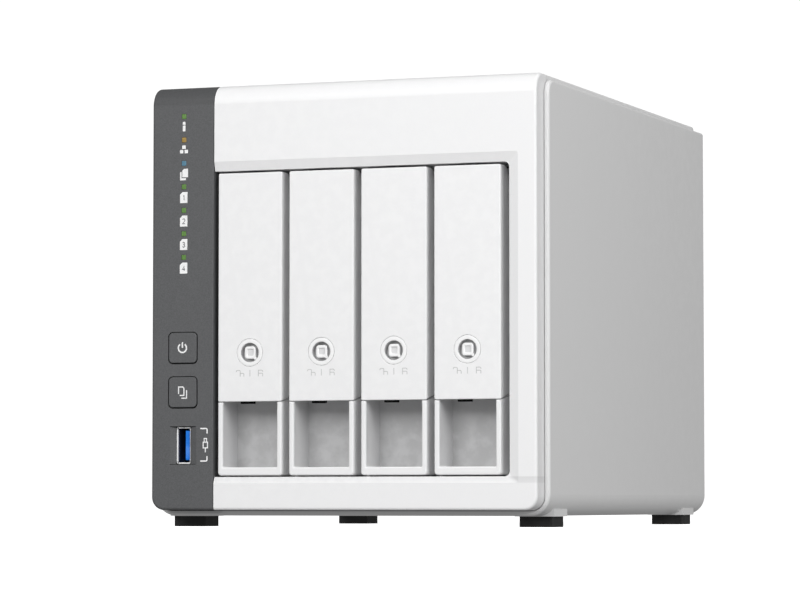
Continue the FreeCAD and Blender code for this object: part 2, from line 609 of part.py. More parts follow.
def make_tray(bay):
    """The pocket frame, front plate, two arms and side plate that carry one drive."""
    half = "tray_width / 2"
    frame = block((f"-{half}", half), (TRAY_FACE, f"{TRAY_FACE} + pocket_depth + pocket_back"),
                  ("tray_low", "tray_split + handle_rise + pocket_side"))
    frame = soften(frame, "shell_round",
                   lambda e: along(e, "y") and at(middle(e).z, size("tray_low")))
    frame = soften(frame, "handle_edge",
                   lambda e: at(middle(e).y, -size("case_depth") / 2 + size("tray_inset")))
    hollow = block((f"-{half} + pocket_side", f"{half} - pocket_side"),
                   (f"{TRAY_FACE} - past", f"{TRAY_FACE} + pocket_depth"),
                   ("tray_low + pocket_floor", "tray_split + handle_depth"))
    middle_level = (size("tray_low") + size("tray_split")) / 2
    hollow = soften(hollow, "shell_round",
                    lambda e: not along(e, "x") and middle(e).z < middle_level)
    above = "(pocket_depth + handle_depth)"
    wide = ("-tray_width", "tray_width")
    above_seam = frustum(above, wide, ("0", "case_height"), wide,
                         (f"{above} * handle_rise / handle_depth", "case_height"))
    frame = cut(frame, hollow, move(above_seam, "0", TRAY_FACE, "tray_split"))
    plate = block((f"-{half}", half), (PLATE_FRONT, f"{PLATE_FRONT} + plate_thick"),
                  ("tray_split", "sled_top"))
    slots = [block(around(f"{n} * air_slot_pitch", "air_slot_half"),
                   (f"{PLATE_FRONT} - past", f"{PLATE_FRONT} + plate_thick + past"),
                   ("air_slot_low", "air_slot_top")) for n in (-1, 0, 1)]
    plate = cut(plate, *slots)
    lower = block(("-sled_half", "sled_half"), (PLATE_FRONT, "sled_end"), ("tray_low", "arm_low"))
    upper = block(("-sled_half", "sled_half"), (PLATE_FRONT, "sled_end"), ("arm_high", "sled_top"))
    side = block(("-sled_half", "-sled_half + sled_wall"), (PLATE_FRONT, "sled_end"),
                 ("arm_low", "arm_high"))
    windows = [block(("-sled_half - past", "-sled_half + sled_wall + past"),
                     (f"window_first + {n} * window_pitch",
                      f"window_first + {n} * window_pitch + window_long"),
                     ("window_low", "window_top")) for n in range(3)]
    lug = block(around("0", "lug_half"), (PIN_Y, f"{PLATE_FRONT} + root"),
                around("pin_height", "lug_radius"))
    nose = rod("x", (PIN_Y, "pin_height"), "lug_radius", "-lug_half", "lug_half")
    bore = rod("x", (PIN_Y, "pin_height"), "pin_radius + pin_fit",
               "-lug_half - past", "lug_half + past")
    screw_room = [
        rod("z", ("screw_x", y), radius, low, high)
        for y in SCREW_ROWS
        for radius, low, high in (
            ("screw_radius + screw_play", "tray_low - past", "arm_low + past"),
            ("screw_head + 2 * screw_play", "tray_low - past", "tray_low + screw_head_thick"),
            ("screw_radius + screw_play", "arm_high - past", "sled_top + past"),
            ("screw_head + 2 * screw_play", "sled_top - screw_head_thick", "sled_top + past"))]
    body = fuse(frame, plate, lower, upper, cut(side, *windows), lug, nose)
    keep(f"tray_{bay}", cut(body, bore, *screw_room), bay_x(bay))


def make_handle(bay):
    """The long front cover of a tray: a shell that swings out about the pin near its top."""
    half = "tray_width / 2"
    back = f"{TRAY_FACE} + handle_depth"
    face = -size("case_depth") / 2 + size("tray_inset")
    top = size("tray_top")
    outer = block((f"-{half}", half), (TRAY_FACE, back), ("tray_split - pocket_side", "tray_top"))
    outer = soften(outer, "handle_back_round",
                   lambda e: along(e, "x") and at(middle(e).z, top) and middle(e).y > face + NEAR)
    outer = soften(outer, "handle_edge", lambda e: along(e, "z") and at(middle(e).y, face))
    outer = soften(outer, "handle_top_round",
                   lambda e: at(middle(e).y, face) and at(middle(e).z, top))
    deep = "(handle_depth + pocket_side)"
    wide = ("-tray_width", "tray_width")
    under = frustum(deep, wide, ("0", "handle_edge + pocket_side"), wide,
                    ("0", f"handle_edge + pocket_side + {deep} * handle_rise / handle_depth"))
    under = move(under, "0", TRAY_FACE, "tray_split + tray_gap - handle_edge - pocket_side")
    room = block((f"-{half} + handle_wall", f"{half} - handle_wall"),
                 (f"{TRAY_FACE} + handle_wall", f"{back} + past"),
                 ("tray_split + handle_rise + handle_wall", "tray_top - handle_wall"))
    top_slot = block(around("0", "lug_half + lug_play"), (f"{TRAY_FACE} + handle_wall", f"{back} + past"),
                     ("tray_top - lug_slot", "tray_top + past"))
    pin_hole = rod("x", (PIN_Y, "pin_height"), "pin_radius + pin_fit",
                   "-pin_half - pin_fit", "pin_half + pin_fit")
    lock_hole = rod("y", ("0", "lock_height"), "lock_radius + lock_fit",
                    f"{TRAY_FACE} - past", f"{TRAY_FACE} + handle_wall + past")
    latch_slot = block(("-latch_left", "latch_right"),
                       (f"{TRAY_FACE} + latch_front", f"{TRAY_FACE} + latch_back"),
                       ("tray_split - past", "tray_split + latch_tall"))
    shaped = cut(outer, under, room, top_slot, pin_hole, lock_hole, latch_slot)
    keep(f"tray_handle_{bay}", shaped, bay_x(bay))
    pin = rod("x", (PIN_Y, "pin_height"), "pin_radius", "-pin_half", "pin_half")
    keep(f"handle_pin_{bay}", group(pin), bay_x(bay))


def make_lock(bay):
    """The fixed barrel of the key lock and the drum that the key turns."""
    centre = ("0", "lock_height")
    barrel_back = f"{TRAY_FACE} + lock_depth"
    head_back = f"{TRAY_FACE} + well_depth - lock_fit"
    barrel = rod("y", centre, "lock_radius", f"{TRAY_FACE} - barrel_proud", barrel_back)
    well = rod("y", centre, "well_radius", f"{TRAY_FACE} - past", f"{TRAY_FACE} + well_depth")
    bore = rod("y", centre, "shaft_radius + shaft_fit", f"{TRAY_FACE} - past", f"{barrel_back} + past")
    keep(f"lock_barrel_{bay}", cut(barrel, well, bore), bay_x(bay))
    head = block(around("0", "drum_width / 2"), (f"{TRAY_FACE} + drum_set", head_back),
                 around("lock_height", "drum_tall / 2"))
    head = soften(head, "drum_round", lambda e: along(e, "y"))
    nub = block(("nub_left", "nub_right"), (f"{TRAY_FACE} + 2 * drum_set", head_back),
                ("lock_height - nub_low", "lock_height - nub_top"))
    shaft = rod("y", centre, "shaft_radius", f"{head_back} - cam_gap",
                f"{barrel_back} + 2 * cam_gap + cam_thick")
    cam = block(around("0", "cam_width / 2"),
                (f"{barrel_back} + cam_gap", f"{barrel_back} + cam_gap + cam_thick"),
                ("lock_height", "lock_height + cam_long"))
    key_hole = block(around("0", "key_width / 2"), (TRAY_FACE, f"{TRAY_FACE} + drum_set + key_depth"),
                     around("lock_height", "key_width / 2"))
    keep(f"lock_drum_{bay}", cut(fuse(head, nub, shaft, cam), key_hole), bay_x(bay))


def make_drive(bay):
    """A 3.5-inch drive on its side edge, with the recess for the backplane's socket."""
    left = "(sled_half - drive_thick)"
    front = "(drive_rear - drive_long)"
    case = block((left, "sled_half"), (front, "drive_rear"), ("drive_low", "drive_low + drive_tall"))
    case = soften(case, "drum_round", lambda e: along(e, "x"))
    recess = block(("-sled_half - past", "-socket_side + socket_width + socket_play"),
                   ("drive_rear - socket_recess", "drive_rear + past"),
                   ("socket_low - socket_play", "socket_low + socket_long + socket_play"))
    drive_top = "drive_low + drive_tall"
    holes = []
    for y in SCREW_ROWS:
        holes.append(rod("z", ("screw_x", y), "screw_radius + lap", "drive_low - past",
                         "drive_low + screw_bite + 2 * screw_play"))
        holes.append(rod("z", ("screw_x", y), "screw_radius + lap",
                         f"{drive_top} - screw_bite - 2 * screw_play", f"{drive_top} + past"))
    keep(f"hard_drive_{bay}", cut(case, recess, *holes), bay_x(bay))
    screws = []
    for y in SCREW_ROWS:
        spot = ("screw_x", y)
        low_head = rod("z", spot, "screw_head", "tray_low + screw_play", "tray_low + screw_head_thick")
        low_shank = rod("z", spot, "screw_radius", "tray_low + screw_sink", "drive_low + screw_bite")
        high_head = rod("z", spot, "screw_head", "sled_top - screw_head_thick", "sled_top - screw_play")
        high_shank = rod("z", spot, "screw_radius", f"{drive_top} - screw_bite", "sled_top - screw_sink")
        screws.append(fuse(low_head, low_shank))
        screws.append(fuse(high_head, high_shank))
    keep(f"drive_screws_{bay}", group(*screws), bay_x(bay))


def make_cage():
    """Steel floor and roof, and five upright walls that part the bays."""
    length = ("cage_front", "cage_rear")
    span = ("cage_left", "cage_right")
    keep("cage_floor", block(span, length, ("cage_floor - cage_sheet", "cage_floor")))
    keep("cage_roof", block(span, length, ("cage_roof", "cage_roof + cage_sheet")))
    upright = ("cage_floor", "cage_roof")
    walls = [block(around(f"bay_first + {n + 0.5} * bay_pitch", "cage_sheet / 2"), length, upright)
             for n in range(3)]
    walls.append(block(("cage_left", "cage_left + cage_sheet"), length, upright))
    walls.append(block(("cage_right - cage_sheet", "cage_right"), length, upright))
    keep("bay_walls", group(*walls))


def make_backplane():
    """The board behind the bays, with air windows and one socket for each drive."""
    board = block(("cage_left", "cage_right"), ("backplane_front", "backplane_front + board_thick"),
                  ("backplane_low", "backplane_top"))
    windows = [block(around(f"{bay_x(bay)} + air_shift", "air_half"),
                     ("backplane_front - past", "backplane_front + board_thick + past"),
                     ("air_low", "air_top")) for bay in BAYS]
    keep("backplane_board", cut(board, *windows))
    sockets = []
    for bay in BAYS:
        low_x = f"{bay_x(bay)} - socket_side"
        body = block((low_x, f"{low_x} + socket_width"),
                     ("backplane_front - socket_deep", "backplane_front"),
                     ("socket_low", "socket_low + socket_long"))
        slot = block((f"{low_x} + socket_lip", f"{low_x} + socket_width - socket_lip"),
                     ("backplane_front - socket_deep - past",
                      "backplane_front - socket_deep + socket_slot"),
                     ("socket_low + socket_lip", "socket_low + socket_long - socket_lip"))
        sockets.append(cut(body, slot))
    keep("drive_sockets", group(*sockets))


def make_fan():
    """A square frame with its motor hub and three struts, and the bladed rotor in front of it."""
    centre = ("fan_x", "fan_z")
    corners = [(f"fan_x + {i} * fan_screw_offset", f"fan_z + {k} * fan_screw_offset")
               for i in (-1, 1) for k in (-1, 1)]
    frame = block(around("fan_x", "fan_size / 2"), (FAN_FRONT, FAN_REAR), around("fan_z", "fan_size / 2"))
    frame = soften(frame, "fan_corner", lambda e: along(e, "y"))
    bore = rod("y", centre, "fan_bore", f"{FAN_FRONT} - past", f"{FAN_REAR} + past")
    waist = cut(rod("y", centre, "fan_size", f"{FAN_FRONT} + flange_thick", f"{FAN_REAR} - flange_thick"),
                rod("y", centre, "fan_bore + bore_wall", FAN_FRONT, FAN_REAR))
    holes = [rod("y", spot, "fan_hole", f"{FAN_FRONT} - past", f"{FAN_REAR} + past") for spot in corners]
    ring = cut(frame, bore, waist, *holes)
    hub = rod("y", centre, "fan_hub", f"{FAN_REAR} - flange_thick", f"{FAN_REAR} - cam_gap")
    struts = [strut(turn) for turn in (90, 210, 330)]
    sleeve = rod("y", centre, "sleeve_radius", f"{FAN_REAR} - sleeve_front", f"{FAN_REAR} - sleeve_rear")
    shaft_bore = rod("y", centre, "fan_shaft + fan_shaft_fit",
                     f"{FAN_REAR} - sleeve_front - past", f"{FAN_REAR} - sleeve_rear + past")
    keep("fan_frame", cut(fuse(ring, hub, sleeve, *struts), shaft_bore))
    rotor_span = (f"{FAN_FRONT} + hub_gap", f"{FAN_REAR} - flange_thick - hub_gap")
    cap = rod("y", centre, "fan_hub - hub_gap", *rotor_span)
    hollow = rod("y", centre, "fan_hub - hub_gap - hub_wall",
                 f"{FAN_FRONT} + hub_gap + 2", f"{FAN_REAR} - flange_thick")
    shaft = rod("y", centre, "fan_shaft", f"{FAN_FRONT} + 2", f"{FAN_REAR} - sleeve_rear")
    swept = doc.addObject("Part::MultiCommon", "swept")
    swept.Shapes = [fuse(*[fan_blade(n) for n in range(9)]),
                    rod("y", centre, "fan_blade_reach", *rotor_span)]
    keep("fan_rotor", fuse(cut(fuse(cap, swept), hollow), shaft))
    screws = [fuse(rod("y", spot, "fan_screw_head", REAR_FACE, f"{REAR_FACE} + fan_head_thick"),
                   rod("y", spot, "fan_screw", f"{REAR_FACE} - fan_screw_long", f"{REAR_FACE} + root"))
              for spot in corners]
    keep("fan_screws", group(*screws))


def strut(turn):
    """One arm from the motor hub to the frame's bore, turned about the fan's axis."""
    arm = block(around("0", "strut_half"), ("0", "strut_thick"), ("0", "fan_bore - fan_hub + 2.5"))
    rotation = Rotation(Vector(0, 1, 0), turn)
    arm.Placement = FreeCAD.Placement(Vector(), rotation)
    offset = rotation.multVec(Vector(-size("strut_half"), 0, size("fan_hub") - 2))
    return move(arm, f"fan_x + ({offset.x:.4f})", f"{FAN_REAR} - flange_thick",
                f"fan_z + ({offset.z:.4f})")


def fan_blade(number):
    """One of nine flat blades, pitched and turned about the fan's axis."""
    root_radius = size("fan_hub") - 3
    blade = block(("0", "fan_blade_reach - fan_hub + 3"), ("0", "blade_thick"), ("0", "blade_chord"))
    pitch = Rotation(Vector(1, 0, 0), size("blade_pitch"))
    turn = Rotation(Vector(0, 1, 0), 40 * number).multiply(pitch)
    blade.Placement = FreeCAD.Placement(Vector(), turn)
    offset = turn.multVec(Vector(root_radius, 0, -size("blade_chord") / 2))
    return move(blade, f"fan_x + ({offset.x:.4f})", f"{FAN_FRONT} + blade_middle + ({offset.y:.4f})",
                f"fan_z + ({offset.z:.4f})")


def make_rear():
    """The perforated rear sheet, the port plate beside it, and the screws that hold both."""
    level = (f"{REAR_FACE} - rear_sheet", REAR_FACE)
    through = (f"{REAR_FACE} - rear_sheet - past", f"{REAR_FACE} + past")
    side = "(case_width / 2 - 2 * shell_wall - root)"
    panel = block(("io_right", side), level, ("rear_low", "rear_top"))
    plate = block((f"-{side}", "io_right - seam"), level, ("rear_low", "rear_top"))
    screw_holes = [rod("y", (f"{i} * case_screw_x", z), "case_screw_radius + hole_play", *through)
                   for i in (-1, 1) for z in ("case_screw_low", "case_screw_high")]
    fan_holes = [rod("y", (f"fan_x + {i} * fan_screw_offset", f"fan_z + {k} * fan_screw_offset"),
                     "fan_hole + hole_play", *through) for i in (-1, 1) for k in (-1, 1)]
    keep("rear_panel", cut(panel, hexagons("fan_x", "fan_z", *through), *screw_holes[2:], *fan_holes))
    port_windows = [block(around("port_x", "jack_high / 2 + port_play"), through,
                          around(z, "jack_wide / 2 + port_play")) for z in JACK_LEVELS]
    port_windows += [block(around("port_x", "usb_thick / 2 + port_play"), through,
                           around(z, "usb_tall / 2 + port_play")) for z in REAR_USB_LEVELS]
    power_hole = rod("y", ("port_x", "power_jack_z"), "power_jack_radius + round_play", *through)
    reset_hole = rod("y", ("port_x", "reset_z"), "reset_radius + round_play", *through)
    lock_slot = block(around("port_x", "lock_slot_x"), through, around("lock_slot_z", "lock_slot_half"))
    keep("port_plate", cut(plate, *port_windows, power_hole, reset_hole, lock_slot, *screw_holes[:2]))
    screws = []
    for i in (-1, 1):
        for z in ("case_screw_low", "case_screw_high"):
            spot = (f"{i} * case_screw_x", z)
            screws.append(fuse(
                rod("y", spot, "case_screw_head", REAR_FACE, f"{REAR_FACE} + case_head_thick"),
                rod("y", spot, "case_screw_radius", f"{REAR_FACE} - case_screw_long",
                    f"{REAR_FACE} + root")))
    keep("case_screws", group(*screws))


def make_main_board():
    """The main board with its heatsink, its clock battery and the rear sockets."""
    board = block(("main_x", MAIN_FACE), ("main_front", "main_rear"), ("main_low", "main_top"))
    keep("main_board", board)
    length = ("sink_front", "sink_rear")
    base = block((MAIN_FACE, f"{MAIN_FACE} + sink_base"), length, ("sink_low", "sink_top"))
    fins = [block((f"{MAIN_FACE} + sink_base - root", f"{MAIN_FACE} + sink_tall"), length,
                  (f"fin_first + {n} * fin_pitch", f"fin_first + {n} * fin_pitch + fin_thick"))
            for n in range(9)]
    keep("processor_heatsink", fuse(base, *fins))
    cell = rod("x", ("cell_y", "cell_z"), "cell_radius", MAIN_FACE, f"{MAIN_FACE} + cell_thick")
    cell_top = size("main_x") + size("board_thick") + size("cell_thick")
    keep("clock_battery",
         soften(cell, "strip_round", lambda e: e.Closed and at(e.CenterOfMass.x, cell_top)))
    make_network_jacks()
    shells, tongues = [], []
    for z in REAR_USB_LEVELS:
        shell, tongue = usb_pieces("port_x", "0", z, "usb_deep")
        shells.append(shell)
        tongues.append(tongue)
    keep("rear_usb_shells", faced_back(group(*shells)))
    keep("rear_usb_tongues", faced_back(group(*tongues)))
    make_power_inlet()
    make_reset_button()


def make_network_jacks():
    """Two network sockets, each a housing with a nose that fills its window."""
    inside_plate = f"{REAR_FACE} - rear_sheet - port_play"
    mouth_span = (f"{REAR_FACE} - jack_hole", f"{REAR_FACE} + past")
    jacks = []
    for z in JACK_LEVELS:
        tall = around(z, "jack_wide / 2")
        housing = block((MAIN_FACE, "port_x + jack_high / 2"),
                        (f"{REAR_FACE} - jack_deep", inside_plate), tall)
        nose = block(around("port_x", "jack_high / 2"),
                     (f"{REAR_FACE} - jack_nose", f"{REAR_FACE} + port_proud"), tall)
        mouth = block(around("port_x", "jack_hole_x"), mouth_span, around(z, "jack_hole_z"))
        key_way = block(("port_x + key_way_low", "port_x + key_way_high"), mouth_span,
                        around(z, "key_way_half"))
        jacks.append(cut(fuse(housing, nose), mouth, key_way))
    keep("network_jacks", group(*jacks))


def make_power_inlet():
    """The barrel inlet with its centre pin."""
    spot = ("port_x", "power_jack_z")
    housing = block((MAIN_FACE, "port_x + power_half"),
                    (f"{REAR_FACE} - power_deep", f"{REAR_FACE} - rear_sheet - hole_play"),
                    around("power_jack_z", "power_half"))
    nose = rod("y", spot, "power_jack_radius", f"{REAR_FACE} - power_nose", f"{REAR_FACE} + hole_play")
    bore = rod("y", spot, "power_bore", f"{REAR_FACE} - power_bore_deep", f"{REAR_FACE} + past")
    pin = rod("y", spot, "power_pin", f"{REAR_FACE} - power_bore_deep - past",
              f"{REAR_FACE} - power_pin_set")
    keep("power_inlet", fuse(cut(fuse(housing, nose), bore), pin))


def make_reset_button():
    """The small recessed button at the back and the switch that it presses."""
    spot = ("port_x", "reset_z")
    switch = block((MAIN_FACE, "port_x + reset_switch_half"),
                   (f"{REAR_FACE} - reset_switch_front", f"{REAR_FACE} - reset_switch_rear"),
                   around("reset_z", "reset_switch_half"))
    keep("reset_switch", switch)
    plunger = rod("y", spot, "reset_radius", f"{REAR_FACE} - reset_back", f"{REAR_FACE} - reset_set")
    flange = rod("y", spot, "reset_radius + reset_flange", f"{REAR_FACE} - reset_back",
                 f"{REAR_FACE} - rear_sheet - reset_gap")
    keep("reset_button", fuse(plunger, flange))


def faced_back(pieces):
    """Turn pieces that face the front round to face the back, level with the port plate."""
    turned = doc.addObject("Part::Mirroring", "faced_back")
    turned.Source = pieces
    turned.Normal = Vector(0, 1, 0)
    turned.Base = Vector(0, 0, 0)
    return move(turned, "0", f"{REAR_FACE} + round_play", "0")


def check_document():
    doc.recompute()
    for item in doc.Objects:
        bad = [state for state in item.State if state in ("Invalid", "Error")]
        if bad:
            raise RuntimeError(f"{item.Name} ({item.Label}) is {bad}")
    for part in subparts:
        if part.Shape.isNull() or not part.Shape.isValid():
            raise RuntimeError(f"{part.Label} has no valid shape")


def export_all():
    os.makedirs(OUT, exist_ok=True)
    for part in subparts:
        part.Shape.exportStep(os.path.join(OUT, part.Label + ".step"))
        print(f"{part.Label:22s} {len(part.Shape.Solids):3d} solids {part.Shape.Volume:12.1f} mm3")


make_case_shell()
make_feet()
make_top_cover()
make_front_bezel()
make_control_panel()
make_status_lights()
make_front_button("power_button", "power_z")
make_front_button("copy_button", "copy_z")
make_panel_board()
make_front_usb()
make_cage()
make_backplane()
make_fan()
make_rear()
make_main_board()
for bay in BAYS:
    make_tray(bay)
    make_handle(bay)
    make_lock(bay)
    make_drive(bay)
check_document()
export_all()
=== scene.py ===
"""Four-bay network storage unit: looks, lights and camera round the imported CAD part."""
import json
import math

import bmesh
import bpy
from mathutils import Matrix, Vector


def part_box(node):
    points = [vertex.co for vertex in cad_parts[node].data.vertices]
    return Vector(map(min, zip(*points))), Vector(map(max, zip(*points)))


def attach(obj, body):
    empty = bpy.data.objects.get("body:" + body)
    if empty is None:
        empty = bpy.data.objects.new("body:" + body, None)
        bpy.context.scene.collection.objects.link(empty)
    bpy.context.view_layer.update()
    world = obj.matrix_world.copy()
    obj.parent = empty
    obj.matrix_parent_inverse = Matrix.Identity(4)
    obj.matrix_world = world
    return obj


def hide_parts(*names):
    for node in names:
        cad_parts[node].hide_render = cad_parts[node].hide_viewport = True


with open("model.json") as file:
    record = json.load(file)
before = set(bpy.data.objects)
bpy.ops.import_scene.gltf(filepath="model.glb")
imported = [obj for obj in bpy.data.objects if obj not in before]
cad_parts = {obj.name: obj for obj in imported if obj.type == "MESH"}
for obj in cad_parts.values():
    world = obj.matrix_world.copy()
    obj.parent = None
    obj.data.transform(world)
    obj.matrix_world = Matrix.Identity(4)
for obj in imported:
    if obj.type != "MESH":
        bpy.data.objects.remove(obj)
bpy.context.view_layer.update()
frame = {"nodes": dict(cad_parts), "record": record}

MM = 0.001
BAYS = (1, 2, 3, 4)
PURE_WHITE = (1.0,) * 4


def mm(*values):
    return [value * MM for value in values]


def add_object(name, data):
    made = bpy.data.objects.new(name, data)
    bpy.context.scene.collection.objects.link(made)
    return made


def node_box(name):
    """A node's low and high corner in millimetres."""
    low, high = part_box(name)
    return low / MM, high / MM


def mid(low, high):
    return (low + high) / 2


# --- camera, lights, floor ---

CAMERA_AT = (488.893, -1342.708, 9.976)
CAMERA_YAW, CAMERA_PITCH = 20.654, 3.2536
LENS, SENSOR = 158.715, 36.0


def add_camera():
    data = bpy.data.cameras.new("camera")
    data.lens, data.sensor_width = LENS, SENSOR
    data.clip_start, data.clip_end = 0.05, 60.0
    camera = add_object("camera", data)
    yaw, pitch = math.radians(CAMERA_YAW), math.radians(CAMERA_PITCH)
    aim = Vector((-math.sin(yaw) * math.cos(pitch), math.cos(yaw) * math.cos(pitch), math.sin(pitch)))
    camera.location = mm(*CAMERA_AT)
    camera.rotation_mode = "QUATERNION"
    camera.rotation_quaternion = aim.to_track_quat("-Z", "Y")
    bpy.context.scene.camera = camera


def add_softbox(name, at, target, width, height, watts):
    data = bpy.data.lights.new(name, "AREA")
    data.shape, data.size, data.size_y, data.energy = "RECTANGLE", width, height, watts
    light = add_object(name, data)
    light.location = at
    light.rotation_mode = "QUATERNION"
    light.rotation_quaternion = (Vector(target) - Vector(at)).to_track_quat("-Z", "Y")
    light.visible_camera = False


AMBIENT = (0.27, 0.27)    # from straight below to straight above
FLOOR_GLOW, BACKDROP_GLOW = 0.84, 1.05
BACKDROP_RADIUS = 8.0


def add_studio():
    scene = bpy.context.scene
    world = scene.world = bpy.data.worlds.new("studio")
    world.use_nodes = True
    tree = world.node_tree
    background = tree.nodes["Background"]
    background.inputs["Color"].default_value = PURE_WHITE
    direction = tree.nodes.new("ShaderNodeTexCoord")
    parts = tree.nodes.new("ShaderNodeSeparateXYZ")
    level = tree.nodes.new("ShaderNodeMapRange")
    level.inputs["From Min"].default_value = -1.0
    level.inputs["To Min"].default_value, level.inputs["To Max"].default_value = AMBIENT
    tree.links.new(direction.outputs["Generated"], parts.inputs["Vector"])
    tree.links.new(parts.outputs["Z"], level.inputs["Value"])
    tree.links.new(level.outputs["Result"], background.inputs["Strength"])
    add_softbox("front_box", (-0.3, -2.5, 1.35), (0, 0, 0.08), 1.8, 1.4, 47.5)
    add_softbox("side_box", (1.0, -0.65, 0.55), (0.08, -0.03, 0.08), 0.7, 0.7, 8.1)
    add_softbox("top_box", (0, 0.2, 2.2), (0, 0, 0.1), 2.0, 2.0, 1.0)
    scene.view_settings.view_transform = "Standard"
    scene.view_settings.look = "None"

    floor_mesh = bpy.data.meshes.new("floor")
    corners = [(x, y, 0) for x, y in arc(0, 0, BACKDROP_RADIUS, 0, 355, 71)]
    floor_mesh.from_pydata(corners, [], [tuple(range(len(corners)))])
    floor = add_object("floor", floor_mesh)
    floor_mesh.materials.append(floor_material())
    floor.visible_diffuse = False
    floor.visible_glossy = False

    shell = bmesh.new()
    bmesh.ops.create_icosphere(shell, subdivisions=4, radius=BACKDROP_RADIUS)
    backdrop_mesh = bpy.data.meshes.new("backdrop")
    shell.to_mesh(backdrop_mesh)
    shell.free()
    backdrop = add_object("backdrop", backdrop_mesh)
    paper = bpy.data.materials.new("backdrop_paper")
    paper.use_nodes = True
    nodes = paper.node_tree.nodes
    nodes.clear()
    glow = nodes.new("ShaderNodeEmission")
    glow.inputs["Color"].default_value = PURE_WHITE
    glow.inputs["Strength"].default_value = BACKDROP_GLOW
    out = nodes.new("ShaderNodeOutputMaterial")
    paper.node_tree.links.new(glow.outputs["Emission"], out.inputs["Surface"])
    backdrop_mesh.materials.append(paper)
    for way in ("diffuse", "glossy", "transmission", "volume_scatter", "shadow"):
        setattr(backdrop, f"visible_{way}", False)


# --- materials ---

class Finish:
    """Builds one procedural material: a Principled shader with the maps that feed it."""

    def __init__(self, name, colour, rough, metal=0.0):
        self.material = bpy.data.materials.new(name)
        self.material.use_nodes = True
        self.tree = self.material.node_tree
        self.shader = self.tree.nodes["Principled BSDF"]
        self.place = self.node("TexCoord")
        self.colour = colour
        self.rough = rough
        self.shader.inputs["Base Color"].default_value = (*colour, 1.0)
        self.shader.inputs["Roughness"].default_value = rough
        self.shader.inputs["Metallic"].default_value = metal
        self.height = None

    def node(self, kind):
        return self.tree.nodes.new(f"ShaderNode{kind}")

    def link(self, source, target):
        self.tree.links.new(source, target)

    def noise(self, scale, detail=3.0, rough=0.55, stretch=None):
        """Noise at a scale per metre, stretched along an axis where the finish has a direction."""
        node = self.node("TexNoise")
        node.inputs["Scale"].default_value = scale
        node.inputs["Detail"].default_value = detail
        node.inputs["Roughness"].default_value = rough
        if stretch:
            mapping = self.node("Mapping")
            mapping.inputs["Scale"].default_value = stretch
            self.link(self.place.outputs["Object"], mapping.inputs["Vector"])
            self.link(mapping.outputs["Vector"], node.inputs["Vector"])
        else:
            self.link(self.place.outputs["Object"], node.inputs["Vector"])
        return node.outputs["Fac"]

    def ramp(self, fac, stops):
        node = self.node("ValToRGB")
        elements = node.color_ramp.elements
        while len(elements) < len(stops):
            elements.new(0.5)
        for element, (place, colour) in zip(elements, stops):
            element.position = place
            element.color = (*colour, 1.0)
        self.link(fac, node.inputs["Fac"])
        return node.outputs["Color"]

    def product(self, one, two):
        mix = self.node("Mix")
        mix.data_type, mix.blend_type = "RGBA", "MULTIPLY"
        mix.inputs["Factor"].default_value = 1.0
        self.link(one, mix.inputs["A"])
        self.link(two, mix.inputs["B"])
        return mix.outputs["Result"]

    def coloured(self, colour):
        self.colour_out = colour
        self.link(colour, self.shader.inputs["Base Color"])
        return self

    def tint(self, spread, scale, grain_spread=0.0, grain_scale=2500.0):
        """Broad and fine colour variation about the base colour."""
        low = tuple(c * (1 - spread) for c in self.colour)
        high = tuple(min(1.0, c * (1 + spread)) for c in self.colour)
        colour = self.ramp(self.noise(scale), [(0.3, low), (0.7, high)])
        if grain_spread:
            dark = (1 - grain_spread,) * 3
            speck = self.ramp(self.noise(grain_scale, 2.0), [(0.35, dark), (0.65, (1.0, 1.0, 1.0))])
            colour = self.product(colour, speck)
        return self.coloured(colour)

    def painted_shade_by_height(self, stops):
        """Painted shade: the base colour times a factor that changes with height: stops are (height,
        factor).
        """
        parts = self.node("SeparateXYZ")
        self.link(self.place.outputs["Object"], parts.inputs["Vector"])
        level = self.node("MapRange")
        low, high = stops[0][0], stops[-1][0]
        level.inputs["From Min"].default_value = low * MM
        level.inputs["From Max"].default_value = high * MM
        self.link(parts.outputs["Z"], level.inputs["Value"])
        shade = self.ramp(level.outputs["Result"],
                          [((z - low) / (high - low), (factor,) * 3) for z, factor in stops])
        return self.coloured(self.product(self.colour_out, shade))

    def edge_wear(self, amount, shade):
        """Edges that handling has rubbed paler, or where dust sits darker."""
        geometry = self.node("NewGeometry")
        mask = self.ramp(geometry.outputs["Pointiness"], [(0.52, (0, 0, 0)), (0.62, (amount,) * 3)])
        breakup = self.ramp(self.noise(220.0, 4.0), [(0.42, (0, 0, 0)), (0.62, (1, 1, 1))])
        product = self.node("Math")
        product.operation = "MULTIPLY"
        self.link(mask, product.inputs[0])
        self.link(breakup, product.inputs[1])
        mix = self.node("Mix")
        mix.data_type = "RGBA"
        self.link(product.outputs["Value"], mix.inputs["Factor"])
        self.link(self.colour_out, mix.inputs["A"])
        mix.inputs["B"].default_value = (*shade, 1.0)
        return self.coloured(mix.outputs["Result"])

    def sheen_map(self, spread, scale, stretch=None):
        """Roughness that varies like faint smears and handling."""
        node = self.node("MapRange")
        node.inputs["To Min"].default_value = max(0.02, self.rough - spread)
        node.inputs["To Max"].default_value = min(1.0, self.rough + spread)
        self.link(self.noise(scale, 4.0, 0.6, stretch), node.inputs["Value"])
        self.link(node.outputs["Result"], self.shader.inputs["Roughness"])
        return self

    def bump(self, scale, depth_mm, strength=0.5, stretch=None):
        """Adds a layer of relief; layers stack."""
        node = self.node("Bump")
        node.inputs["Strength"].default_value = strength
        node.inputs["Distance"].default_value = depth_mm * MM
        self.link(self.noise(scale, 2.0, 0.6, stretch), node.inputs["Height"])
        if self.height:
            self.link(self.height, node.inputs["Normal"])
        self.height = node.outputs["Normal"]
        self.link(self.height, self.shader.inputs["Normal"])
        return self


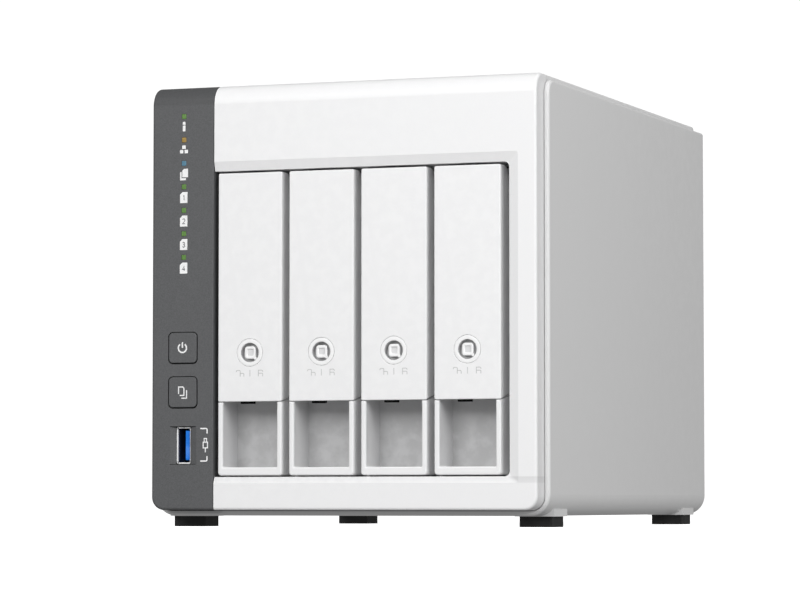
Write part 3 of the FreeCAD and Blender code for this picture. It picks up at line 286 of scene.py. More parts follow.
def floor_material():
    finish = Finish("floor_paper", (0.90, 0.90, 0.90), 0.9)
    finish.tint(0.01, 3.0).sheen_map(0.05, 8.0).bump(300.0, 0.05, 0.2)
    finish.shader.inputs["Emission Color"].default_value = PURE_WHITE
    finish.shader.inputs["Emission Strength"].default_value = FLOOR_GLOW
    finish.shader.inputs["Specular IOR Level"].default_value = 0.0
    return finish.material


def white_plastic(name, colour, rough, stops=None):
    finish = Finish(name, colour, rough)
    finish.shader.inputs["IOR"].default_value = 1.46
    finish.tint(0.003, 14.0, 0.012, 2600.0)
    # Where stops are given, painted shade by height is multiplied into the colour.
    if stops:
        finish.painted_shade_by_height(stops)
    finish.edge_wear(0.25, tuple(min(0.93, c * 1.1) for c in colour))
    finish.sheen_map(0.02, 30.0).bump(2600.0, 0.010, 0.15)
    return finish.material


# Name: colour, roughness, metallic; tint; edge wear; roughness map; relief.
FINISHES = {
    "panel_grey": ((0.114, 0.116, 0.120), 0.55, 0.0, (0.02, 20, 0.22, 2800),
        (0.15, (0.13, 0.13, 0.135)), (0.04, 40), (2600, 0.02, 0.4)),
    "foot_rubber": ((0.014,) * 3, 0.72, 0.0, (0.2, 60, 0.2, 1500),
        (0.4, (0.05,) * 3), (0.1, 90), (1400, 0.04, 0.5)),
    "black_plastic": ((0.018, 0.018, 0.019), 0.42, 0.0, (0.1, 40, 0.15, 2200),
        (0.4, (0.06,) * 3), (0.08, 70), (2200, 0.02, 0.4)),
    "blue_plastic": ((0.010, 0.20, 0.80), 0.45, 0.0, (0.06, 300, 0.08, 2500),
        (0.3, (0.2, 0.45, 1.0)), (0.05, 200), (2500, 0.01, 0.3)),
    "bright_steel": ((0.80, 0.80, 0.81), 0.34, 1.0, (0.04, 120, 0.06, 2600),
        (0.5, (0.9,) * 3), (0.08, 200), (900, 0.01, 0.2)),
    "bright_lip": ((0.86,) * 3, 0.4, 0.25, (0.02, 300, 0.04, 2600),
        (0.3, (0.9,) * 3), (0.05, 300), (900, 0.004, 0.2)),
    "jack_metal": ((0.62, 0.62, 0.63), 0.30, 1.0, (0.05, 90, 0.08, 1800),
        (0.5, (0.8,) * 3), (0.1, 120, (1, 1, 6)), (900, 0.01, 0.2, (1, 1, 8))),
    "cage_steel": ((0.50, 0.50, 0.51), 0.38, 1.0, (0.10, 90, 0.10, 700),
        (0.5, (0.7,) * 3), (0.12, 60), (500, 0.01, 0.25)),
    "screw_steel": ((0.58, 0.58, 0.60), 0.30, 1.0, (0.06, 300, 0.08, 1500),
        (0.6, (0.85,) * 3), (0.1, 300), (1500, 0.01, 0.3)),
    "rear_paint": ((0.66, 0.66, 0.665), 0.5, 0.0, (0.02, 25, 0.06, 1600),
        (0.5, (0.8,) * 3), (0.08, 50), (1500, 0.03, 0.5)),
    "circuit_board": ((0.015, 0.10, 0.045), 0.32, 0.0, (0.25, 180, 0.2, 900),
        (0.4, (0.25, 0.30, 0.14)), (0.08, 150), (700, 0.02, 0.3)),
    "heatsink_aluminium": ((0.58, 0.58, 0.60), 0.35, 1.0, (0.04, 100, 0.05, 1500),
        (0.5, (0.8, 0.8, 0.82)), (0.1, 80, (1, 8, 1)), (700, 0.01, 0.3, (1, 10, 1))),
    "drive_aluminium": ((0.36, 0.36, 0.37), 0.42, 1.0, (0.06, 60, 0.10, 1300),
        (0.5, (0.6, 0.6, 0.62)), (0.1, 60), (1200, 0.03, 0.4)),
    "contact_gold": ((0.72, 0.52, 0.22), 0.25, 1.0, (0.06, 500, 0.06, 2500),
        (0.3, (0.9, 0.75, 0.4)), (0.08, 400), (1500, 0.004, 0.2)),
    "light_lens": ((0.10, 0.30, 0.05), 0.25, 0.0, (0.1, 400, 0.1, 2500), None, (0.05, 300),
        (900, 0.01, 0.2)),
    "void_black": ((0.004,) * 3, 0.9, 0.0, (0.1, 300, 0.1, 2500), None, (0.05, 300),
        (2000, 0.01, 0.2)),
    "label_paper": ((0.70, 0.70, 0.69), 0.45, 0.0, (0.02, 60, 0.05, 1500), None, (0.06, 90),
        (900, 0.01, 0.2)),
    "socket_navy": ((0.004, 0.016, 0.05), 0.6, 0.0, (0.1, 300, 0.1, 2500), None, (0.05, 300),
        (2000, 0.01, 0.3)),
}
SPECULAR = {"panel_grey": 0.3, "black_plastic": 0.35, "blue_plastic": 0.2, "void_black": 0.05}
# Painted shade: the control strip's colour darkens along its rounded top edge.
STRIP_PAINTED_SHADE = ((161.2, 1.0), (162.2, 0.76))    # the strip darkens where its top edge turns over
LENSES = {"green": (0.11, 0.24, 0.05), "amber": (0.33, 0.21, 0.045), "blue": (0.09, 0.22, 0.32)}
LENS_GLOW = 0.06
INKS = {"ink_white": (0.92,) * 3, "ink_pale": (0.58,) * 3, "ink_grey": (0.16, 0.16, 0.17)}
# Name: colour, roughness and, where it has one, the painted shade by height.
WHITES = {
    "shell_white": ((0.78,) * 3, 0.42),
    # front_white carries painted shadow: a darker band from 16.3 to 19 mm high, on the ledge under the
    # trays.
    "front_white": ((0.86, 0.86, 0.865), 0.40, ((16.3, 1.0), (16.7, 0.9), (18.7, 0.84), (19, 1.0))),
    "tray_white": ((0.85, 0.85, 0.855), 0.44),
    "lock_white": ((0.90,) * 3, 0.34),
    # The pocket colours are painted shade: grey in place of the tray's white, with the back wall darker
    # below 36 mm than at the top.
    "pocket_painted_shade": ((0.66, 0.66, 0.665), 0.5, ((36, 0.71), (47, 1.0))),
    "pocket_side": ((0.64, 0.64, 0.645), 0.5),
    "lock_shadow": ((0.50, 0.50, 0.505), 0.5),
    "key_recess_painted_shade": ((0.70, 0.70, 0.705), 0.5),
}


def make_materials():
    made = {name: white_plastic(name, *values) for name, values in WHITES.items()}
    for name, (colour, rough, metal, tint, wear, sheen, relief) in FINISHES.items():
        finish = Finish(name, colour, rough, metal).tint(*tint)
        # The control strip gets painted shade along its top edge.
        if name == "panel_grey":
            finish.painted_shade_by_height(STRIP_PAINTED_SHADE)
        if wear:
            finish.edge_wear(*wear)
        if name in SPECULAR:
            finish.shader.inputs["Specular IOR Level"].default_value = SPECULAR[name]
        made[name] = finish.sheen_map(*sheen).bump(*relief).material
    for name, colour in LENSES.items():
        lens = Finish(f"lens_{name}", colour, 0.3).tint(0.15, 900.0, 0.1, 3000.0)
        lens.shader.inputs["Emission Color"].default_value = (*colour, 1.0)
        lens.shader.inputs["Emission Strength"].default_value = LENS_GLOW
        made[f"lens_{name}"] = lens.sheen_map(0.05, 300.0).bump(900.0, 0.01, 0.2).material
    for name, colour in INKS.items():
        ink = Finish(name, colour, 0.5).tint(0.03, 200.0, 0.08, 3000.0)
        made[name] = ink.sheen_map(0.06, 300.0).bump(3000.0, 0.004, 0.3).material
    return made


def dress_nodes():
    """Every CAD node takes the finish of its record slot."""
    slots = {entry["node"]: entry["material_slot"] for entry in frame["record"]["subparts"]}
    for name, node in frame["nodes"].items():
        finish = MATERIALS[slots[name]]
        for place in node.material_slots:
            place.material = finish


# --- mesh helpers ---
# Outlines are lists of (x, z) in millimetres, anticlockwise as seen from the front.

ROUND_STEPS = 5
CREASE = math.radians(38)


def new_piece(name, build, finish, body, replaced=(), extra=()):
    """Put a build, or a mesh made from one, in the scene as a piece that rides on a body."""
    mesh = build.finish(name) if isinstance(build, Build) else build
    for other in (finish, *extra):
        mesh.materials.append(MATERIALS[other])
    piece = add_object(name, mesh)
    even = piece.modifiers.new("even_normals", "WEIGHTED_NORMAL")
    even.keep_sharp = True
    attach(piece, body)
    if replaced:
        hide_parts(*replaced)
    return piece


class Build:
    """Collects closed shells in millimetres and turns them into one mesh."""

    def __init__(self):
        self.mesh = bmesh.new()
        self.shade = 0

    def _face(self, verts):
        clean = [v for n, v in enumerate(verts) if v is not verts[n - 1]]
        if len(set(clean)) > 2:
            try:
                face = self.mesh.faces.new(clean)
            except ValueError:
                return
            face.material_index = self.shade

    def loft(self, rings, closed=False, warp=None):
        """Quads between rings of equal point count; the ends are capped unless closed."""
        rows = []
        for ring in rings:
            rows.append([self.mesh.verts.new(mm(*(warp(p) if warp else p))) for p in ring])
        pairs = list(zip(rows, rows[1:]))
        if closed:
            pairs.append((rows[-1], rows[0]))
        for one, two in pairs:
            for n in range(len(one)):
                self._face((one[n - 1], one[n], two[n], two[n - 1]))
        if not closed:
            self._face(rows[0])
            self._face(list(reversed(rows[-1])))
        return self

    def prism(self, outline, front, back, edge=0.3, back_edge=0.0, warp=None):
        """An outline run from front to back along Y, with rounded front and back rims."""
        return self.loft(prism_rings(outline, front, back, edge, back_edge), warp=warp)

    def beam(self, x, y, z, edge=0.3, corner=None, warp=None):
        """A box with every edge rounded."""
        corner = edge if corner is None else corner
        return self.prism(rounded(x[0], x[1], z[0], z[1], corner), y[0], y[1], edge, edge, warp)

    def slab(self, y, z, x, edge=0.3, corner=1.0):
        """A plate with a rounded outline in the YZ plane, run along X."""
        return self.prism(rounded(y[0], y[1], z[0], z[1], corner), x[0], x[1], edge, edge, sideways)

    def turned(self, axis, centre, profile, steps=48, closed=False):
        """A solid of revolution: profile is (radius, level) pairs; a radius may depend on angle."""
        order = "xyz".index(axis)
        others = [n for n in range(3) if n != order]
        rings = []
        for radius, level in profile:
            ring = []
            for n in range(steps):
                angle = 2 * math.pi * n / steps
                reach = radius(angle) if callable(radius) else max(radius, 1e-3)
                point = [0.0, 0.0, 0.0]
                point[order] = level
                point[others[0]] = centre[0] + reach * math.cos(angle)
                point[others[1]] = centre[1] + reach * math.sin(angle)
                ring.append(tuple(point))
            rings.append(ring)
        return self.loft(rings, closed=closed)

    def screw(self, axis, centre, tip, seat, face, shank, head):
        """A pan-head screw with a cross recess; tip, seat and face are levels along the axis."""
        out = 1 if face > seat else -1
        tall = abs(face - seat)

        def cross(scale):
            arm, slot = head * 0.58 * scale, head * 0.15 * scale

            def reach(angle):
                turn = abs((math.degrees(angle) + 45) % 90 - 45)
                if arm * math.tan(math.radians(turn)) <= slot:
                    return arm / math.cos(math.radians(turn))
                return slot / math.sin(math.radians(turn))
            return reach

        profile = [(shank * 0.6, tip), (shank, tip + out * shank * 0.5), (shank, seat),
                   (head - 0.12, seat), (head, seat + out * 0.12), (head, seat + out * tall * 0.45),
                   (head * 0.92, face - out * tall * 0.16), (head * 0.76, face - out * 0.02),
                   (cross(1.06), face), (cross(1.0), face - out * 0.08),
                   (cross(0.8), face - out * min(1.1, tall * 0.75))]
        return self.turned(axis, centre, profile, 64)

    def ribbon(self, points, width, front, back, loop=False):
        """A printed or inlaid line: a flat band that follows points in the XZ plane."""
        count = len(points)
        sides = ([], [])
        for n, here in enumerate(points):
            before = points[n - 1] if (n or loop) else None
            after = points[(n + 1) % count] if (n < count - 1 or loop) else None
            normals = []
            for start, end in ((before, here), (here, after)):
                if start and end:
                    dx, dz = end[0] - start[0], end[1] - start[1]
                    length = math.hypot(dx, dz)
                    normals.append((dz / length, -dx / length))
            nx = sum(v[0] for v in normals) / len(normals)
            nz = sum(v[1] for v in normals) / len(normals)
            scale = width / 2 / max(0.25, nx * nx + nz * nz)
            sides[0].append((here[0] + nx * scale, here[1] + nz * scale))
            sides[1].append((here[0] - nx * scale, here[1] - nz * scale))
        rings = [[(xa, front, za), (xb, front, zb), (xb, back, zb), (xa, back, za)]
                 for (xa, za), (xb, zb) in zip(*sides)]
        return self.loft(rings, closed=loop)

    def finish(self, name):
        mesh = self.mesh
        bmesh.ops.remove_doubles(mesh, verts=mesh.verts, dist=1e-8)
        bmesh.ops.dissolve_degenerate(mesh, dist=1e-8, edges=mesh.edges)
        bmesh.ops.recalc_face_normals(mesh, faces=mesh.faces)
        data = bpy.data.meshes.new(name)
        mesh.to_mesh(data)
        mesh.free()
        data.shade_smooth()
        data.set_sharp_from_angle(angle=CREASE)
        return data


def sideways(point):
    """Exchanges X and Y, so that an outline run along Y becomes one run along X."""
    return (point[1], point[0], point[2])


def carved(mesh, cutter):
    """The mesh with the cutter's volume taken out of it."""
    pair = [add_object("carving", one) for one in (mesh, cutter)]
    cut = pair[0].modifiers.new("cut", "BOOLEAN")
    cut.operation, cut.solver, cut.object = "DIFFERENCE", "EXACT", pair[1]
    view = bpy.context.evaluated_depsgraph_get()
    result = bpy.data.meshes.new_from_object(pair[0].evaluated_get(view))
    for one in pair:
        bpy.data.objects.remove(one)
    result.set_sharp_from_angle(angle=CREASE)
    return result


def rounded(x0, x1, z0, z1, radius):
    """A rectangle outline with rounded corners."""
    radius = max(0.02, min(radius, (x1 - x0) / 2 - 1e-4, (z1 - z0) / 2 - 1e-4))
    points = []
    corners = ((x1 - radius, z0 + radius, -90), (x1 - radius, z1 - radius, 0),
               (x0 + radius, z1 - radius, 90), (x0 + radius, z0 + radius, 180))
    for cx, cz, start in corners:
        points += arc(cx, cz, radius, start, start + 90, ROUND_STEPS)
    return points


def centred(x, z, half_x, half_z, corner):
    """A rounded rectangle about a middle."""
    return rounded(x - half_x, x + half_x, z - half_z, z + half_z, corner)


def grown(outline, amount):
    """The outline moved outwards by an amount, with mitred corners."""
    count = len(outline)
    moved = []
    for n in range(count):
        (xa, za), (xb, zb), (xc, zc) = outline[n - 1], outline[n], outline[(n + 1) % count]
        one, two = Vector((zb - za, xa - xb)), Vector((zc - zb, xb - xc))
        one.normalize()
        two.normalize()
        mitre = (one + two) / max(0.3, 1 + one.dot(two))
        moved.append((xb + mitre.x * amount, zb + mitre.y * amount))
    return moved


def oblong(x0, x1, z0, z1):
    """A rectangle outline with square corners."""
    return [(x0, z0), (x1, z0), (x1, z1), (x0, z1)]


def flat_ring(outline, y):
    return [(x, y, z) for x, z in outline]


def rim(radius, steps=4):
    """(inset, depth) pairs of a quarter round, from the face edge to the side."""
    turns = [math.pi / 2 * k / steps for k in range(steps + 1)]
    return [(radius * (1 - math.sin(turn)), radius * (1 - math.cos(turn))) for turn in turns]


def prism_rings(outline, front, back, edge=0.3, back_edge=0.0):
    front_rim = rim(edge) if edge else [(0.0, 0.0)]
    back_rim = reversed(rim(back_edge)) if back_edge else [(0.0, 0.0)]
    rings = [flat_ring(grown(outline, -inset), front + depth) for inset, depth in front_rim]
    rings += [flat_ring(grown(outline, -inset), back - depth) for inset, depth in back_rim]
    return rings


def arc(cx, cz, radius, start, end, steps=12):
    """Points along an arc between two angles in degrees."""
    turns = [math.radians(start + (end - start) * k / steps) for k in range(steps + 1)]
    return [(cx + radius * math.cos(turn), cz + radius * math.sin(turn)) for turn in turns]


# --- front trays ---

SEAM_RISE = 2.33 / 10.1     # the seam under a handle climbs this much for each millimetre inwards


def bay_x(bay):
    return mid(*node_box(f"tray_handle_{bay}")).x


def make_handle(bay):
    """The tray's long front cover: a rounded shell with a lock bore and a top slot, and a near-black block
    under its lower edge.
    """
    low, high = node_box(f"tray_handle_{bay}")
    x, face, back, top = bay_x(bay), low.y, high.y, high.z
    half, bottom = (high.x - low.x) / 2, low.z
    wall, edge, corner, back_round = 1.6, 0.42, 0.55, 5.0
    lock_z = mid(*node_box(f"lock_barrel_{bay}")).z
    bore = 5.35

    def section(inset, y, trim=0.0):
        inside = y - (back - back_round)
        drop = back_round - math.sqrt(back_round ** 2 - inside ** 2) if inside > 0 else 0.0
        return flat_ring(rounded(x - half + inset, x + half - inset,
                                 bottom + SEAM_RISE * (y - face) + inset,
                                 top - max(trim, drop + inset), corner - min(inset, corner - 0.05)), y)

    def hole(radius, y):
        return flat_ring(centred(x, lock_z, radius, radius, radius), y)

    rings = [hole(bore + 0.15, face), hole(bore, face + 0.15), hole(bore, face + wall)]
    inner = [section(wall, face + wall), section(wall, back - back_round)]
    outer = []
    for k in range(6):
        y = back - back_round + back_round * math.sin(math.pi / 2 * min(k / 5, 0.96))
        outer.append(section(0.0, y))
    inner_back = section(wall, back - back_round / 3)
    rings += inner + [inner_back, section(wall * 0.75, outer[-1][0][1])]
    rings += list(reversed(outer))
    rings += [section(inset, face + depth) for inset, depth in reversed(rim(edge))]
    build = Build()
    build.loft(rings, closed=True)
    slot = Build()
    slot.beam((x - 5.6, x + 5.6), (face + wall, back + 1.0), (top - 15.0, top + 1.0), 0.02)
    cover = carved(build.finish("handle_cover"), slot.finish("handle_slot"))
    new_piece(f"handle_cover_{bay}", cover, "tray_white",
              f"handle_{bay}", [f"tray_handle_{bay}"])
    # A near-black block just under the handle's lower edge.
    tip = Build()
    tip.beam((x - 4.2, x + 1.1), (face + 0.95, face + 3.4), (bottom - 0.75, bottom + 2.2), 0.2)
    new_piece(f"near_black_block_{bay}", tip, "void_black", f"handle_{bay}")


def make_tray(bay):
    """The pocket frame with its walls in painted shade, the front plate with air slots, and the sled."""
    low, high = node_box(f"tray_{bay}")
    x, face = bay_x(bay), low.y
    half, bottom = 13.125, low.z
    split = node_box(f"tray_handle_{bay}")[0].z - 0.3
    side, floor, depth = 1.95, 3.1, 14.7
    top = split - 0.02
    outer = arc(x + half - 1.2, bottom + 1.2, 1.2, -90, 0, 4)
    outer += [(x + half, top), (x + half - side, top)]
    inner = 0.4
    outer += arc(x + half - side - inner, bottom + floor + inner, inner, 0, -90, 4)
    outer += arc(x - half + side + inner, bottom + floor + inner, inner, -90, -180, 4)
    outer += [(x - half + side, top), (x - half, top)]
    outer += arc(x - half + 1.2, bottom + 1.2, 1.2, 180, 270, 4)
    middle = (bottom + top) / 2

    def climb(point):
        px, py, pz = point
        return (px, py, pz + SEAM_RISE * min(py - face, 10.1) if pz > middle else pz)

    build = Build()
    build.prism(outer, face, face + depth + 0.4, 0.55, warp=climb)
    plate_front, plate_back = face + 13.3, face + 15.1
    # Painted shade: the pocket's back wall takes the grey pocket colour.
    build.shade = 1
    build.beam((x - half + 0.02, x + half - 0.02), (face + depth, face + depth + 1.5),
               (bottom + 0.1, split + 4.3), 0.1)
    # Painted shade: thin grey sheets just inside the pocket's side walls and floor.
    lining, start, low_edge = 0.06, face + 0.75, bottom + floor
    build.shade = 2
    end = face + depth + 0.1
    for left in (x - half + side - 0.02, x + half - side - lining + 0.02):
        build.prism(oblong(left, left + lining, low_edge + inner, top - 0.4), start, end, 0.0, warp=climb)
    room = half - side - inner
    build.prism(oblong(x - room, x + room, low_edge - 0.02, low_edge + lining), start, end, 0.0)
    build.shade = 0
    plate_top = high.z
    plate_low = split + 4.2
    for left, right in ((-half + 0.02, -11.0), (-5.0, -3.0), (3.0, 5.0), (11.0, half - 0.02)):
        build.beam((x + left, x + right), (plate_front + 0.02, plate_back - 0.02), (51.5, 118.5), 0.2)
    build.beam((x - half, x + half), (plate_front, plate_back), (plate_low, 52.0), 0.25)
    build.beam((x - half, x + half), (plate_front, plate_back), (118.0, plate_top), 0.25)
    sled, end = 13.6, high.y
    build.beam((x - sled, x + sled), (plate_back - 0.2, end), (bottom, 26.3), 0.3, 0.6)
    build.beam((x - sled, x + sled), (plate_back - 0.2, end), (128.1, plate_top), 0.3, 0.6)
    wall = (x - sled, x - sled + 1.0)
    rib = (wall[0] + 0.02, wall[1] - 0.02)
    for start, stop in ((plate_back - 0.2, -78.0), (-44.0, -36.0), (-2.0, 6.0), (40.0, end - 0.02)):
        build.beam(rib, (start, stop), (39.5, 114.5), 0.15)
    build.beam(wall, (plate_back - 0.2, end), (26.0, 40.0), 0.2)
    build.beam(wall, (plate_back - 0.2, end), (114.0, 128.4), 0.2)
    _, pin_y, pin_z = mid(*node_box(f"handle_pin_{bay}"))
    build.beam((x - 5, x + 5), (pin_y + 1.3, plate_front + 0.3), (pin_z - 2.1, pin_z + 2.1), 0.2)
    build.turned("x", (pin_y, pin_z), ((1.25, x - 5), (1.9, x - 5), (2.1, x - 4.8), (2.1, x + 4.8),
                                       (1.9, x + 5), (1.25, x + 5)), 32)
    new_piece(f"tray_frame_{bay}", build, "tray_white",
              f"tray_{bay}", [f"tray_{bay}"], extra=["pocket_painted_shade", "pocket_side"])


def make_lock(bay):
    """The barrel's flat ring round a dark well, and the drum with its key recess."""
    low, high = node_box(f"lock_barrel_{bay}")
    x, _, z = mid(low, high)
    face, back, radius, well = low.y, high.y, (high.x - low.x) / 2, 3.7
    build = Build()
    floor = face + 2.4
    build.turned("y", (x, z), (
        (2.3, back), (radius - 0.3, back), (radius, back - 0.3), (radius, face + 0.28),
        (radius - 0.08, face + 0.08), (radius - 0.28, face), (well + 0.22, face),
        (well + 0.05, face + 0.07), (well, face + 0.25), (well, floor), (2.3, floor)), 64, closed=True)
    build.shade = 1
    build.turned("y", (x, z), (
        (2.32, floor - 0.02), (well - 0.02, floor - 0.02), (well - 0.02, face + 0.3),
        (well - 0.08, face + 0.3), (well - 0.08, floor - 0.08), (2.32, floor - 0.08)), 64, closed=True)
    new_piece(f"lock_ring_{bay}", build, "lock_white", f"handle_{bay}",
              [f"lock_barrel_{bay}"], extra=["lock_shadow"])

    low, high = node_box(f"lock_drum_{bay}")
    front = low.y
    half_x, half_z = 2.25, 2.4
    key = 1.25
    drum = Build()

    def square(hx, hz, corner, y):
        return flat_ring(centred(x, z, hx, hz, corner), y)

    rings = [square(key + more, key + more, corner, front + deep) for more, corner, deep in
             ((-0.25, 0.25, 1.2), (-0.1, 0.35, 0.35), (0.12, 0.45, 0.05), (0.25, 0.5, 0.0))]
    rings += [square(half_x - inset, half_z - inset, 1.15 - inset, front + depth)
              for inset, depth in rim(0.35)]
    rings += [square(half_x, half_z, 1.15, front + 1.85)]
    drum.loft(rings)
    drum.beam((x + 1.45, x + 2.6), (front + 0.1, front + 1.85), (z - 2.75, z - 1.6), 0.2, 0.4)
    drum.turned("y", (x, z), ((0.1, front + 1.75), (2.2, front + 1.75), (2.2, high.y - 0.2),
                              (2.0, high.y), (0.1, high.y)), 32)
    drum.beam((x - 1.5, x + 1.5), (high.y - 1.7, high.y - 0.5), (z, high.z), 0.15, 0.5)
    # Painted shade: a grey plate as the floor of the key recess.
    drum.shade = 1
    drum.beam((x - 1.12, x + 1.12), (front + 0.4, front + 1.3), (z - 1.12, z + 1.12), 0.08, 0.3)
    new_piece(f"lock_key_drum_{bay}", drum, "lock_white", f"lock_{bay}",
              [f"lock_drum_{bay}"], extra=["key_recess_painted_shade"])


def make_lock_symbols(bay):
    """Printed signs under the lock: an open shackle, an upright bar and a closed shackle."""
    x = bay_x(bay)
    ink = node_box(f"tray_handle_{bay}")[0].y - 0.02
    under = ink + 0.06
    build = Build()
    stroke = 0.3
    signs = (
        ((-5.5, 58.75), (-5.5, 59.15), (-5.2, 59.4), (-4.2, 59.4), (-3.92, 59.15), (-3.92, 57.05)),
        ((-3.92, 58.25), (-2.65, 58.25), (-2.4, 58.0), (-2.4, 57.05)),
        ((0.1, 57.05), (0.1, 59.5)),
        ((3.6, 57.05), (3.6, 59.4), (5.0, 59.4), (5.35, 59.1), (5.4, 58.75)),
        ((3.6, 58.25), (5.1, 58.25), (5.35, 58.0), (5.35, 57.05)),
    )
    for points in signs:
        build.ribbon([(x + px, pz) for px, pz in points], stroke, ink, under)
    new_piece(f"lock_symbols_{bay}", build, "ink_pale", f"handle_{bay}")


# --- control strip ---

def make_button(name, node, body):
    """A cap with rounded edges, its hidden flange and its stem."""
    low, high = node_box(node)
    x, _, z = mid(low, high)
    front, half, shift = low.y, 5.8, 0.1
    build = Build()
    build.prism(rounded(x - half - shift, x + half - shift, z - half + shift, z + half + shift, 1.6),
                front, front + 2.6, 0.3)
    build.beam((low.x, high.x), (front + 2.55, front + 3.6), (low.z, high.z), 0.2, 1.8)
    build.beam((x - 2, x + 2), (front + 3.5, high.y), (z - 2, z + 2), 0.3)
    new_piece(name, build, "panel_grey", body, [node])


def button_centre(node):
    low, high = node_box(node)
    x, _, z = mid(low, high)
    return x, z, low.y


def make_button_symbols():
    x, z, face = button_centre("power_button")
    ink, under = face - 0.02, face + 0.03
    build = Build()
    build.ribbon(arc(x - 0.2, z, 1.7, 125, 415, 30), 0.56, ink, under)
    build.ribbon([(x - 0.2, z + 0.1), (x - 0.2, z + 2.3)], 0.56, ink, under)
    new_piece("power_symbol", build, "ink_white", "power_button")
    x, z, face = button_centre("copy_button")
    ink, under = face - 0.02, face + 0.03
    build = Build()
    left, right = x - 1.75, x + 0.5
    build.ribbon([(left, z - 0.55), (left, z + 2.1), (right - 0.45, z + 2.1), (right, z + 1.6),
                  (right, z - 1.14), (left + 0.5, z - 1.14)], 0.42, ink, under)
    build.ribbon([(x + 1.6, z + 0.9), (x + 1.6, z - 2.2), (x - 0.6, z - 2.2)], 0.42, ink, under)
    new_piece("copy_symbol", build, "ink_white", "copy_button")


# Each stroke of a numeral in a box one unit wide and two tall.
NUMERALS = {
    1: [[(0.25, 1.6), (0.6, 1.95), (0.6, 0.0)]],
    2: [[(0.0, 1.6), (0.3, 2.0), (0.75, 2.0), (1.0, 1.6), (0.95, 1.15), (0.0, 0.0), (1.05, 0.0)]],
    3: [[(0.0, 1.7), (0.4, 2.0), (0.85, 1.85), (0.9, 1.35), (0.45, 1.05), (0.95, 0.8), (1.0, 0.3),
         (0.5, 0.0), (0.0, 0.3)]],
    4: [[(0.8, 0.0), (0.8, 2.0), (0.0, 0.6), (1.1, 0.6)]],
}
LIGHT_COLOURS = ("green", "amber", "blue") + ("green",) * 4


def make_status_lights():
    """Seven small square lenses with light guides behind them."""
    low, high = node_box("status_lights")
    x, half = mid(low, high).x, (high.x - low.x) / 2
    pitch = (high.z - low.z - 2 * half) / (len(LIGHT_COLOURS) - 1)
    for n, colour in enumerate(LIGHT_COLOURS):
        z = high.z - half - n * pitch
        build = Build()
        build.prism(centred(x, z, half, half, 0.25), low.y, high.y, 0.15)
        lens = new_piece(f"status_lens_{n + 1}", build, f"lens_{colour}", "casing")
        if n == 0:
            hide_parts("status_lights")


def make_light_symbols():
    """White printed signs under the lights: information, network, copy and four numbered disks."""
    face = node_box("control_panel")[0].y
    ink, under = face - 0.015, face + 0.02
    white = Build()

    for place in ((-65.13, -64.03, 154.1, 155.25), (-65.13, -64.03, 151.6, 153.8),
                  (-65.4, -63.9, 144.8, 146.1), (-66.3, -64.9, 143.1, 144.4),
                  (-64.35, -62.95, 143.1, 144.4)):
        white.prism(rounded(*place, 0.08), ink, under, 0.0)
    for sheet in (((-66.2, 132.7), (-63.8, 132.7), (-63.8, 133.5), (-65.6, 133.5), (-65.6, 135.9),
                   (-66.2, 135.9)),
                  ((-65.3, 133.85), (-62.9, 133.85), (-62.9, 137.1), (-64.6, 137.1), (-65.3, 136.4))):
        white.prism(sheet, ink, under, 0.0)
    dark = Build()
    for n in range(4):
        low, top = 123.95 - 9.04 * n, 128.15 - 9.04 * n
        white.prism([(-66.2, low), (-63.1, low), (-63.1, top), (-65.2, top), (-66.2, top - 1.0)],
                    ink, under, 0.0)
        for stroke in NUMERALS[n + 1]:
            points = [(-65.1 + 0.95 * px, low + 1.05 + 0.95 * pz) for px, pz in stroke]
            dark.ribbon(points, 0.33, ink - 0.012, ink + 0.01)
    new_piece("light_symbols", white, "ink_white", "casing")
    new_piece("disk_numbers", dark, "ink_grey", "casing")


def make_socket_marks():
    """Corner brackets beside the front socket and a plain outline of a plug between them."""
    face = node_box("control_panel")[0].y
    ink, under = face - 0.015, face + 0.02
    build = Build()
    left, right, low, top, bend = -57.4, -54.6, 25.0, 37.4, 0.5
    for end, way in ((top, 1), (low, -1)):
        build.ribbon([(left, end)] + arc(right - bend, end - way * bend, bend, 90 * way, 0, 6)
                     + [(right, end - way * 1.9)], 0.5, ink, under)
    x = -55.3
    build.ribbon(oblong(x - 0.9, x + 0.9, 30.0, 32.2), 0.4, ink, under, loop=True)
    build.ribbon([(x - 0.5, 32.4), (x - 0.5, 33.6), (x + 0.5, 33.6), (x + 0.5, 32.4)], 0.36, ink, under)
    build.ribbon([(x, 28.3), (x, 29.8)], 0.4, ink, under)
    new_piece("socket_marks", build, "ink_white", "casing")


